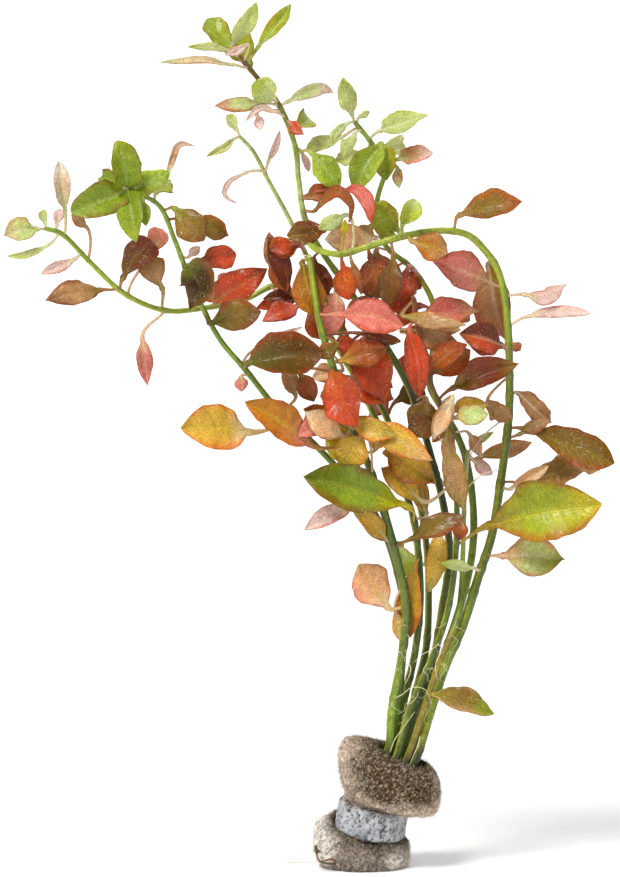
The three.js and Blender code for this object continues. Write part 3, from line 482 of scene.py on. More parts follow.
@dataclass(frozen=True)
class LeafFinish:
    """Fresh leaf: satin, veined, dusted with fine pale specks, and a little lit through."""

    name: str = "leaf"
    roughness: float = 0.4
    veins: float = 0.32
    specks: float = 0.2
    glow: float = 0.3
    mottle: float = 0.2

    def material(self) -> Material:
        """Makes the material.

        Returns:
            The material.
        """
        weave = Weaver(self.name)
        uv = weave.node("UVMap", uv_map="surface").outputs[0]
        split = weave.node("SeparateXYZ", {0: uv})
        along, across = split.outputs[0], weave.math("ABSOLUTE", split.outputs[1])
        wobble = weave.times(weave.lumps(160, 2), 0.5)
        slanted = weave.math("SUBTRACT", weave.times(along, 7.5), weave.times(across, 1.5))
        phase = weave.math("FRACT", weave.math("ADD", slanted, wobble))
        ridge = weave.math("ABSOLUTE", weave.math("SUBTRACT", phase, 0.5))
        side_veins = weave.ramp(ridge, 0.09, 0.0)
        rib = weave.ramp(across, 0.05, 0.0)
        veins = weave.math("MAXIMUM", weave.times(side_veins, 0.75), rib)
        lie = weave.node("CombineXYZ", {0: slanted, 1: split.outputs[1], 2: weave.lumps(40, 1)}).outputs[0]
        fibres = weave.node("TexNoise", {"Vector": lie, "Scale": 4.5, "Detail": 4}).outputs["Fac"]
        streaks = weave.ramp(fibres, 0.3, 0.7, 1 - 0.6 * self.mottle, 1 + 0.6 * self.mottle)
        grit = weave.ramp(weave.lumps(3800, 3, rough=0.75), 0.34, 0.66, 1 - 1.8 * self.mottle, 1 + 1.8 * self.mottle)
        mottled = weave.times(streaks, grit)
        tinted = weave.scaled(weave.tint(), mottled)
        light = weave.scaled(tinted, 1.55)
        veined = weave.blend(weave.times(veins, self.veins), tinted, light)
        dusty = weave.ramp(weave.lumps(260, 2), 0.48, 0.62, 0.15, 0.8)
        dots = weave.math("MAXIMUM", weave.specks(2600, 0.24, self.specks), weave.specks(1300, 0.16, self.specks))
        weave.feed("Base Color", weave.blend(weave.times(dots, dusty), veined, (*Pigment.CREAM.tint(), 1)))
        weave.feed("Roughness", weave.ramp(weave.lumps(700, 3), 0.3, 0.7, self.roughness - 0.12, self.roughness + 0.12))
        relief = weave.math("SUBTRACT", weave.times(weave.lumps(900, 4), 0.5), veins)
        weave.bump(relief, 0.5, 0.0003)
        weave.feed("Subsurface Weight", self.glow)
        weave.feed("Subsurface Radius", (1.0, 0.55, 0.2))
        weave.feed("Subsurface Scale", 0.001)
        weave.feed("Specular IOR Level", 0.3)
        return weave.material


@dataclass(frozen=True)
class StemFinish:
    """Fresh stem: smooth, finely grooved along its length, with pale flecks."""

    name: str = "stem"
    roughness: float = 0.34

    def material(self) -> Material:
        """Makes the material.

        Returns:
            The material.
        """
        weave = Weaver(self.name)
        uv = weave.node("UVMap", uv_map="surface").outputs[0]
        stretched = weave.node("Mapping", {"Vector": uv, "Scale": (0.35, 14, 1)}).outputs[0]
        grooves = weave.node("TexNoise", {"Vector": stretched, "Scale": 1.6, "Detail": 4}).outputs["Fac"]
        streak = weave.ramp(grooves, 0.3, 0.7, 0.72, 1.3)
        tinted = weave.scaled(weave.tint(), streak)
        dots = weave.times(weave.specks(2000, 0.22, 0.1), 0.6)
        weave.feed("Base Color", weave.blend(dots, tinted, (*Pigment.CREAM.tint(), 1)))
        weave.feed("Roughness", weave.ramp(weave.lumps(600, 3), 0.3, 0.7, self.roughness - 0.08, self.roughness + 0.16))
        weave.bump(weave.math("ADD", grooves, weave.times(weave.lumps(1500, 3), 0.4)), 0.4, 0.00015)
        weave.feed("Subsurface Weight", 0.15)
        weave.feed("Subsurface Radius", (0.8, 1.0, 0.3))
        weave.feed("Subsurface Scale", 0.001)
        return weave.material


@dataclass(frozen=True)
class WoolFinish:
    """Mineral wool: a dull felt of fine fibres, soiled in patches."""

    name: str = "mineral_wool"
    felt: float = 0.6

    def material(self) -> Material:
        """Makes the material.

        Returns:
            The material.
        """
        weave = Weaver(self.name)
        first = weave.lumps(1500, 5, (1, 0.4, 0.6), 0.75)
        second = weave.lumps(2600, 4, (0.4, 1, 0.8), 0.75)
        felt = weave.math("ADD", first, second)
        cloud = weave.ramp(felt, 0.8, 1.2, 1 - self.felt, 1 + self.felt)
        tinted = weave.scaled(weave.tint(), cloud)
        pale = weave.times(weave.specks(2400, 0.34, 0.16), 0.7)
        flecked = weave.blend(pale, tinted, (*Pigment.BONE.tint(), 1))
        dark = weave.times(weave.specks(2600, 0.4, 0.16), 0.6)
        weave.feed("Base Color", weave.blend(dark, flecked, (*Pigment.UMBER.tint(), 1)))
        weave.feed("Roughness", 0.95)
        weave.bump(felt, 0.9, 0.0008)
        weave.feed("Specular IOR Level", 0.1)
        return weave.material


@dataclass(frozen=True)
class ClayFinish:
    """Fired clay: pale grey, matt, with dark pits and a dusty bloom."""

    name: str = "fired_clay"

    def material(self) -> Material:
        """Makes the material.

        Returns:
            The material.
        """
        weave = Weaver(self.name)
        cloud = weave.ramp(weave.lumps(260, 7, rough=0.65), 0.3, 0.7, 0.7, 1.22)
        tinted = weave.scaled(weave.tint(), cloud)
        pits = weave.math("MAXIMUM", weave.specks(700, 0.34, 0.3), weave.specks(1500, 0.36, 0.34))
        pits = weave.math("MAXIMUM", pits, weave.specks(3000, 0.4, 0.3))
        dark = weave.blend(weave.times(pits, 0.62), tinted, (0.05, 0.05, 0.055, 1))
        weave.feed("Base Color", dark)
        weave.feed("Roughness", weave.ramp(weave.lumps(500, 3), 0.3, 0.7, 0.6, 0.85))
        relief = weave.math("SUBTRACT", weave.lumps(900, 6, rough=0.7), weave.times(pits, 0.8))
        weave.bump(relief, 0.6, 0.0004)
        return weave.material


@dataclass(frozen=True)
class ThreadFinish:
    """Roots, withered stalks and the sprout: thin, dull threads."""

    name: str = "root"
    roughness: float = 0.6

    def material(self) -> Material:
        """Makes the material.

        Returns:
            The material.
        """
        weave = Weaver(self.name)
        cloud = weave.ramp(weave.lumps(900, 3), 0.3, 0.7, 0.8, 1.15)
        tinted = weave.scaled(weave.tint(), cloud)
        weave.feed("Base Color", tinted)
        weave.feed("Roughness", self.roughness)
        return weave.material


@dataclass(frozen=True)
class FloorFinish:
    """A plain pale floor."""

    name: str = "floor"

    def material(self) -> Material:
        """Makes the material.

        Returns:
            The material.
        """
        weave = Weaver(self.name)
        cloud = weave.ramp(weave.lumps(3, 2), 0.2, 0.8, 0.97, 1.0)
        weave.feed("Base Color", weave.blend(cloud, (0.86, 0.86, 0.86, 1), (0.9, 0.9, 0.9, 1)))
        weave.feed("Roughness", 0.9)
        weave.feed("Specular IOR Level", 0.0)
        return weave.material


class Tone(Enum):
    """A leaf's leading colour: its slot, and its usual pigments."""

    GREEN = ("leaf_green", "FERN FERN FERN OLIVE LIME")
    LIME = ("leaf_green", "LIME LIME FERN KHAKI MINT")
    # Pale green, painted paler still: a painted highlight of the glare on the top of the bunch.
    PALE_GLARE = ("leaf_green", "MINT MINT LIME MINT CREAM")
    GOLD = ("leaf_gold", "KHAKI GOLD KHAKI AMBER YELLOW")
    AMBER = ("leaf_brown", "KHAKI AMBER RUST RUST YELLOW")
    OLIVE = ("leaf_brown", "OLIVE OLIVE BROWN RUST KHAKI")
    BROWN = ("leaf_brown", "OLIVE RUST BROWN BRICK TAN")
    TAN = ("leaf_brown", "KHAKI TAN TAN RUST SAND")
    RUST = ("leaf_red", "OLIVE RUST BRICK BRICK TAN")
    RED = ("leaf_red", "BRICK RED BRICK RUST CORAL")
    MAROON = ("leaf_red", "BROWN MAROON BROWN DARK_MAROON RUST")
    PINK = ("leaf_pink", "PEACH PINK CORAL PINK CREAM")
    PALE = ("leaf_pink", "SAND PEACH SAND TAN CREAM")
    # Pale greyish pink: the leaves' own pink, painted paler as a painted highlight of the glare.
    BLUSH = ("leaf_pink", "SAND BLUSH BLUSH PINK CREAM")

    def slot(self) -> str:
        """Gives the name of the material slot."""
        return self.value[0]

    def coat(self) -> str:
        """Gives the usual pigments' names."""
        return self.value[1]


@dataclass(frozen=True)
class Leaf:
    """One leaf: its joint in the front view, its blade from base to tip, and its looks.

    A coat names the pigments of the base, the middle, the tip, the rim and the rib, and of the second half where
    the halves differ. Without a coat, the tone's usual pigments are meant. The blade faces the viewer at a turn of 0.
    """

    stem: str
    joint: tuple[float, float]
    blade: Route
    width: float
    turn: float
    tone: Tone
    name: str = ""
    coat: str = ""
    outline: Outline = Outline.OVATE
    ripple: float = 0.1


@dataclass(frozen=True)
class Strap(Leaf):
    """A narrow leaf."""

    outline: Outline = Outline.STRAP


@dataclass(frozen=True)
class Stem:
    """One stem: its direction in the bundle, its radius at foot and tip, its route, and its pigments by height."""

    name: str
    turn: float
    radius: tuple[float, float]
    route: Route
    heights: tuple[float, ...]
    coat: str
    inner: bool = False


# Stems, and their leaves as pieces of their own and as small ones

FRONT_LEFT = "stem_front_left"
ROSETTE = "stem_left_rosette"
FAR_LEFT = "stem_far_left"
BACK = "stem_back"
SHOOT = "stem_right_shoot"
ARCHING = "stem_arching"
PALE = "stem_pale"
MIDDLE = "stem_middle"
UPRIGHT = "stem_upright"

STEMS: tuple[Stem, ...] = (
    Stem(FRONT_LEFT, 190, (1.3, 0.8), (
        (6.75, -3.4, 39), (9.25, -4.6, 53), (10.2, -5.4, 66), (7, -6, 81), (2, -6, 97.5), (-2.5, -6, 109),
        (-8, -6, 125), (-11.5, -5.2, 137), (-13.2, -5, 148), (-14, -5, 153.2)),
        (26, 33, 60, 110, 128, 150), "DEEP GRASS IVY IVY GRASS LIME"),
    Stem(ROSETTE, 140, (1.1, 0.55), (
        (8.1, -0.2, 39), (9.4, -0.6, 53), (9.6, -0.6, 66), (5.6, 0.4, 82), (1.5, 2.2, 90), (-6, 3, 99),
        (-16.2, 0, 109.5), (-23, -3, 116), (-29.8, -7, 124.5), (-36, -8, 131.8), (-41, -9, 141), (-44.8, -10, 150),
        (-47.5, -11, 157), (-51, -12.5, 165), (-55, -14, 167.6), (-59, -15, 169)),
        (26, 34, 60, 90, 120, 150, 168), "DEEP GRASS IVY IVY GRASS GRASS GRASS"),
    Stem(FAR_LEFT, 100, (1.05, 0.6), (
        (9.4, 2.6, 39), (12.6, 1.6, 54), (13.9, 1.2, 68), (13.2, 1.2, 80), (12, 1.8, 88), (7, 6, 102),
        (0, 13, 118), (-8, 17, 132), (-15, 18.5, 141), (-21.8, 18, 145.8), (-30, 17, 142.4), (-41.2, 16, 140),
        (-50, 14, 139.5), (-60, 11.5, 143.5), (-68.8, 10, 151.5), (-76.2, 9, 158.8), (-80.5, 9, 160)),
        (26, 34, 60, 100, 135, 160), "DEEP GRASS IVY IVY LIME GRASS"),
    Stem(BACK, 55, (1.1, 0.5), (
        (11.8, 3.6, 39), (15.4, 5, 55), (16, 7, 68), (15.4, 8, 81), (12.4, 9, 96), (5.5, 9, 112.5), (-4, 9, 129),
        (-12, 8, 147), (-18, 7, 160.5), (-24.2, 6, 172), (-28, 5, 179.2), (-31.5, 4, 183)),
        (26, 34, 100, 140, 160), "DEEP IVY IVY GRASS MINT"),
    Stem(SHOOT, 15, (1.25, 0.55), (
        (14.6, 2.4, 39), (20.6, 5, 55), (24.6, 7.6, 67.5), (27, 9.4, 79), (27.2, 11, 90.5), (25.2, 13, 103),
        (21, 14, 112.5), (16.6, 14.5, 120), (17.2, 15, 131), (17.2, 14.5, 141), (12, 12.5, 149.8), (5, 10.5, 156),
        (3, 10, 166), (5, 10, 175.6), (1.4, 9.6, 181.6), (-3, 9, 187)),
        (26, 34, 60, 100, 135, 185), "DEEP LIME GRASS IVY LIME GRASS"),
    Stem(ARCHING, 330, (1.35, 0.75), (
        (16.4, -1.4, 39), (20, -0.4, 50), (24.6, 1.8, 60.5), (28.4, 3.6, 72.5), (31.8, 5, 83), (33.8, 6.4, 95),
        (36, 7.6, 112), (36.2, 7.6, 125), (35.6, 6.6, 137), (33.4, 4.8, 149), (29.8, 2, 154.5),
        (25.5, -0.6, 158.2), (18.8, -3.4, 159.2), (9.8, -5, 157.8), (1, -5.8, 155.3), (-6.2, -6.2, 153.3),
        (-11.6, -6.2, 154.3), (-14.4, -6.4, 156)),
        (26, 34, 50, 75, 115, 140, 153), "DEEP LIME GRASS IVY IVY GRASS LIME"),
    Stem(PALE, 290, (1, 0.5), (
        (14.6, -4.4, 39), (18.2, -4.2, 50), (20.6, -3.2, 56), (22.6, -1.6, 60.5), (23.6, 0.8, 65), (24.2, 3.4, 71),
        (24.7, 5, 82), (25, 5, 93), (25.8, 5, 104.5)),
        (26, 32, 56, 62, 104), "DEEP KHAKI KHAKI GRASS MINT"),
    Stem(MIDDLE, 245, (1, 0.6), (
        (11, -3.6, 39), (17, -2.4, 53), (20.4, -1.6, 63), (22.2, -1.8, 73), (22.9, -2.6, 85), (22.6, -3, 98),
        (20.6, -4.2, 112), (17, -5, 119.4), (14.4, -5.4, 128), (12, -6, 143)),
        (26, 34, 100, 115, 140), "DEEP IVY IVY OLIVE BRICK"),
    Stem(UPRIGHT, 0, (1.2, 0.6), (
        (12.5, -0.2, 39), (17.4, 0.8, 53), (19.4, 1.2, 65), (21.2, 2, 78), (19.8, 2.6, 90), (16.8, 3.4, 102),
        (11.6, 4, 118.6), (5.6, 4, 130), (-3, 3.2, 143), (-14.4, 2, 160.5), (-16.6, 2, 172), (-17.4, 2, 180),
        (-21.5, 1, 190.5), (-27.5, 0, 198), (-31.8, -2, 203)),
        (26, 34, 110, 130, 152, 168, 184, 198), "DEEP IVY DEEP IVY GRASS MINT GRASS OLIVE", inner=True),
)

LEAVES: tuple[Leaf, ...] = (
    Leaf(MIDDLE, (22.8, 80.3), ((31, -1, 85.6), (59.2, -9, 91)), 13.8, -18, Tone.GOLD, "leaf_large_gold",
         "KHAKI LIME GOLD RUST YELLOW"),
    Leaf(FAR_LEFT, (12.3, 86), ((10.4, -8.2, 90.4), (-15.5, -16, 98)), 10.8, 20, Tone.GREEN, "leaf_green_front",
         "GOLD FERN MOSS BROWN YELLOW", outline=Outline.WEDGE),
    Leaf(ARCHING, (35.7, 110), ((39.8, 6, 109.8), (62.5, 2, 101.2)), 8.4, -25, Tone.OLIVE, "leaf_olive_right",
         "OLIVE OLIVE OLIVE BRICK KHAKI", outline=Outline.WEDGE),
    Leaf(ARCHING, (34, 96), ((42, 9.5, 96.5), (59.5, 13, 100.3)), 7.4, -35, Tone.GOLD, "leaf_olive_gold",
         "OLIVE OLIVE TAN TAN TAN"),
    Leaf(ARCHING, (30.2, 78), ((34.5, 2.5, 78), (50.2, 0, 77)), 9.8, -20, Tone.LIME, "leaf_low_right",
         "PEACH MINT LIME PINK CREAM"),
    Leaf(ARCHING, (36.2, 118), ((38.4, 10, 118.8), (47, 12, 111.2)), 5.2, -20, Tone.TAN, "leaf_tan_right",
         "TAN TAN TAN BRICK CREAM"),
    Leaf(ARCHING, (32, 151), ((31, 10, 150.6), (35.2, 12.5, 132)), 8.6, 10, Tone.PINK, "leaf_behind_arch",
         "KHAKI TAN PINK BRICK CREAM TAN"),
    Leaf(ARCHING, (34.2, 145.5), ((30.4, 3, 146.6), (16.8, -1.6, 151.6)), 9, 25, Tone.RUST, "leaf_orange_pink",
         "TAN PINK CORAL BRICK SAND"),
    Leaf(ARCHING, (21.8, 159), ((23.4, -3, 163), (39.2, -6, 166.3)), 6.8, -20, Tone.RUST, "leaf_copper_top",
         "TAN OLIVE RUST RUST KHAKI"),
    Leaf(ARCHING, (10.5, 158), ((11.5, -7.6, 156.6), (20.6, -10, 153.6)), 6.6, -10, Tone.BROWN, "leaf_arch_brown",
         "TAN AMBER TAN RUST YELLOW"),
    Leaf(ARCHING, (9, 157.6), ((9.3, -6.4, 160.6), (12.4, -8, 167)), 4.6, 10, Tone.GREEN, "leaf_spoon",
         "FERN LIME MINT LIME MINT", outline=Outline.ROUND),
    Leaf(ARCHING, (36, 129.6), ((34, 2.4, 130.8), (23.4, -2, 133.6)), 7.4, 22, Tone.RUST, "leaf_red_right",
         "BRICK RED RUST BRICK SAND MAROON"),
    Leaf(MIDDLE, (18.2, 117), ((22, -5.4, 120), (38.6, -4.6, 126.2)), 7, -20, Tone.MAROON, "leaf_maroon_right",
         "OLIVE MAROON OLIVE MAROON BROWN"),
    Leaf(SHOOT, (17.3, 139), ((14.2, 4, 137.2), (28.4, -0.6, 139.2)), 7, -25, Tone.RUST, "leaf_pink_centre",
         "PEACH CORAL TAN RUST PEACH"),
    Leaf(MIDDLE, (15.8, 122.6), ((16, -8.6, 124.6), (25.4, -10, 131)), 5.8, -20, Tone.BROWN, "leaf_brown_centre",
         "RUST RUST BRICK BRICK TAN"),
    Leaf(FRONT_LEFT, (-11.6, 138.5), ((-6.2, -10.4, 138.3), (9.7, -14.6, 135.3)), 8, -20, Tone.PINK, "leaf_coral_front",
         "CORAL CORAL CORAL RED PEACH"),
    Leaf(FRONT_LEFT, (-8.2, 125.4), ((-8.6, -9.6, 123.8), (-1.8, -14.6, 110)), 9.6, 18, Tone.RED, "leaf_orange_front",
         "ORANGE RED RED RED ORANGE"),
    Leaf(ARCHING, (-5.6, 153.3), ((-5.6, -5.6, 150.6), (-4, -8, 141.8)), 5.6, 0, Tone.RED, "leaf_red_orange_hanging",
         "RED ORANGE RED BRICK ORANGE"),
    Leaf(ARCHING, (-11.6, 154.3), ((-12.6, -1, 151.6), (-9, 0.4, 143)), 4.6, 0, Tone.MAROON, "leaf_maroon_upper"),
    Leaf(ARCHING, (1, 155.3), ((1.4, -3.2, 152.6), (4.8, -3.4, 142.2)), 9, 0, Tone.RUST, "leaf_brown_red_hanging",
         "BRICK RUST BROWN MAROON TAN"),
    Leaf(ARCHING, (6.5, 157), ((7, -7, 152.6), (5.8, -7.4, 139.8)), 5.6, 0, Tone.OLIVE, "leaf_dark_hanging",
         "OLIVE BROWN BROWN UMBER OLIVE"),
    Leaf(FRONT_LEFT, (-14, 152), ((-15.8, -2.2, 151.4), (-12, -2.4, 137.8)), 7.4, 0, Tone.AMBER, "leaf_amber_hanging",
         "OLIVE AMBER AMBER RUST YELLOW"),
    Leaf(ROSETTE, (-39.6, 138), ((-38.4, -12, 136), (-25.8, -14, 139)), 7.6, -22, Tone.OLIVE, "leaf_olive_left",
         "MOSS OLIVE BROWN BRICK OLIVE"),
    Leaf(ROSETTE, (-29.8, 124.5), ((-29.4, -10.4, 126), (-10.3, -11, 129)), 10.2, -22, Tone.OLIVE, "leaf_dark_olive",
         "MOSS DARK_OLIVE BROWN BRICK OLIVE"),
    Leaf(FAR_LEFT, (-38, 140.6), ((-37.4, 11, 141.8), (-24.4, 6, 150)), 8.2, -20, Tone.RED, "leaf_orange_left",
         "RUST RED BRICK BRICK TAN"),
    Leaf(ROSETTE, (-44.8, 150.2), ((-44.9, -13, 150.3), (-40.6, -16.4, 145.2), (-43.6, -17, 139.2)), 8.4, 10,
         Tone.OLIVE, "leaf_rosette_low", "MOSS UMBER DARK_OLIVE BROWN DARK_OLIVE"),
    Leaf(ROSETTE, (-50.6, 164), ((-47.4, -13.6, 164.6), (-40, -17, 156.4)), 7.4, -15, Tone.OLIVE, "leaf_rosette_right",
         "FERN OLIVE BROWN BROWN TAN"),
    Leaf(ROSETTE, (-58.6, 168.9), ((-59.4, -15.4, 169.2), (-61.2, -19, 181.3)), 7.4, 10, Tone.GREEN, "leaf_rosette_top",
         "FERN FERN LIME MOSS MINT", outline=Outline.BROAD),
    Leaf(ROSETTE, (-58.9, 169), ((-59, -15.8, 168.4), (-73, -22, 163.4)), 7.8, 20, Tone.GREEN, "leaf_rosette_left",
         "LIME FERN FERN OLIVE MINT", outline=Outline.BROAD),
    Leaf(ROSETTE, (-58.2, 168.8), ((-58.9, -16, 168.8), (-56.8, -22, 156)), 6.2, 10, Tone.GREEN, "leaf_rosette_front",
         "FERN FERN LIME FERN MINT", outline=Outline.BROAD),
    Leaf(ROSETTE, (-56.6, 168.2), ((-58.2, -15.2, 168.4), (-48.6, -14.6, 173.4)), 5.8, -20, Tone.GREEN,
         "leaf_rosette_side", "FERN FERN FERN LIME MINT", outline=Outline.BROAD),
    Leaf(FAR_LEFT, (-61.4, 144.6), ((-60.6, 8.6, 147.6), (-53.4, 5, 157)), 7.8, -15, Tone.BROWN, "leaf_far_brown",
         "OLIVE BROWN MAROON MAROON TAN", outline=Outline.FUNNEL),
    Leaf(FAR_LEFT, (-62, 145), ((-66.4, 9.4, 144.6), (-80, 5, 141.9)), 6, 25, Tone.MAROON, "leaf_far_maroon",
         "OLIVE TAN BROWN MAROON TAN"),
    Leaf(FAR_LEFT, (-80.3, 160), ((-82, 7.6, 159.8), (-90.3, 4, 158)), 5.6, 20, Tone.TAN, "leaf_far_tip",
         "MINT MINT SAND TAN CREAM"),
    Strap(FAR_LEFT, (-75.2, 158), ((-75, 7.4, 164.6), (-76.6, 5, 177)), 4, 10, Tone.PINK, "leaf_far_peach",
          "MINT SAND BONE BLUSH CREAM"),
    Leaf(SHOOT, (2, 180.8), ((4, 5.2, 181), (-3, 1, 168.6)), 6.8, 10, Tone.GREEN, "leaf_shoot_green",
         "LIME FERN FERN LIME MINT"),
    Leaf(SHOOT, (1, 182), ((4, 7, 184.4), (15.8, 3, 188.2)), 5.2, -25, Tone.GREEN, "leaf_shoot_right",
         "MINT MINT MINT LIME CREAM"),
    Leaf(UPRIGHT, (-17.3, 178.4), ((-13.4, -1.4, 178.6), (-6.2, -5, 169.8)), 6.2, -15, Tone.GREEN, "leaf_upper_green",
         "LIME FERN FERN LIME MINT"),
    Leaf(UPRIGHT, (-14.9, 162), ((-10.2, -2.5, 159.2), (-19.6, -3.2, 158)), 5.6, 6, Tone.BROWN, "leaf_top_brown",
         "BRICK BROWN OLIVE MAROON BROWN"),
    Leaf(ROSETTE, (-19, 112), ((-29.2, -8, 109), (-46, -14, 110.2)), 11, 22, Tone.GOLD, "leaf_golden_left",
         "SAND HONEY HONEY ORANGE YELLOW"),
    Leaf(FRONT_LEFT, (-1.2, 105.6), ((-14, -10, 106), (-30, -13, 116.6)), 8.2, 22, Tone.AMBER, "leaf_amber_left",
         "PINK AMBER AMBER RUST YELLOW"),
    Leaf(FRONT_LEFT, (-0.6, 104), ((-1, -2, 101.8), (-9.6, -1.6, 110.3)), 9, 15, Tone.LIME, "leaf_lime_left",
         "HONEY GOLD KHAKI GOLD CREAM"),
    Leaf(FRONT_LEFT, (-8.6, 127), ((-6.2, -7.4, 126.6), (5.2, -10, 130)), 6.8, -18, Tone.AMBER, "leaf_orange_brown",
         "HONEY RUST RUST BRICK TAN"),
    Leaf(FRONT_LEFT, (-6.6, 121.6), ((-4.6, -3.6, 122.6), (7.4, -3.4, 117.2)), 7.2, -10, Tone.RED, "leaf_red_low",
         "SAND RED RUST BRICK PINK"),
    Strap(MIDDLE, (12.8, 137), ((10.9, -9, 134), (13.6, -12, 117.6)), 5.6, 0, Tone.RED, "leaf_red_strap",
          "RED RED BRICK MAROON CORAL"),
    Leaf(UPRIGHT, (12.4, 117), ((15.2, -0.6, 117.2), (12.2, -5, 108.4)), 7.2, 0, Tone.BROWN, "leaf_olive_centre",
         "TAN OLIVE BROWN BROWN KHAKI"),
    Leaf(FRONT_LEFT, (-3, 110), ((0.6, -9.4, 110.8), (17, -12.4, 101.8)), 6.6, -20, Tone.GOLD, "leaf_golden_centre",
         "HONEY HONEY PEACH ORANGE SAND"),
    Leaf(FAR_LEFT, (7.4, 101), ((5.6, -2.8, 103.6), (17.3, -6, 96.4)), 8.4, -15, Tone.AMBER, "leaf_gold_centre",
         "AMBER HONEY BROWN BRICK KHAKI"),
    Leaf(FRONT_LEFT, (10.2, 64.8), ((5.8, -5.4, 65), (-1.6, -3, 76)), 9.4, 15, Tone.PINK, "leaf_pink_low",
         "SAND PEACH PEACH PINK YELLOW"),
)

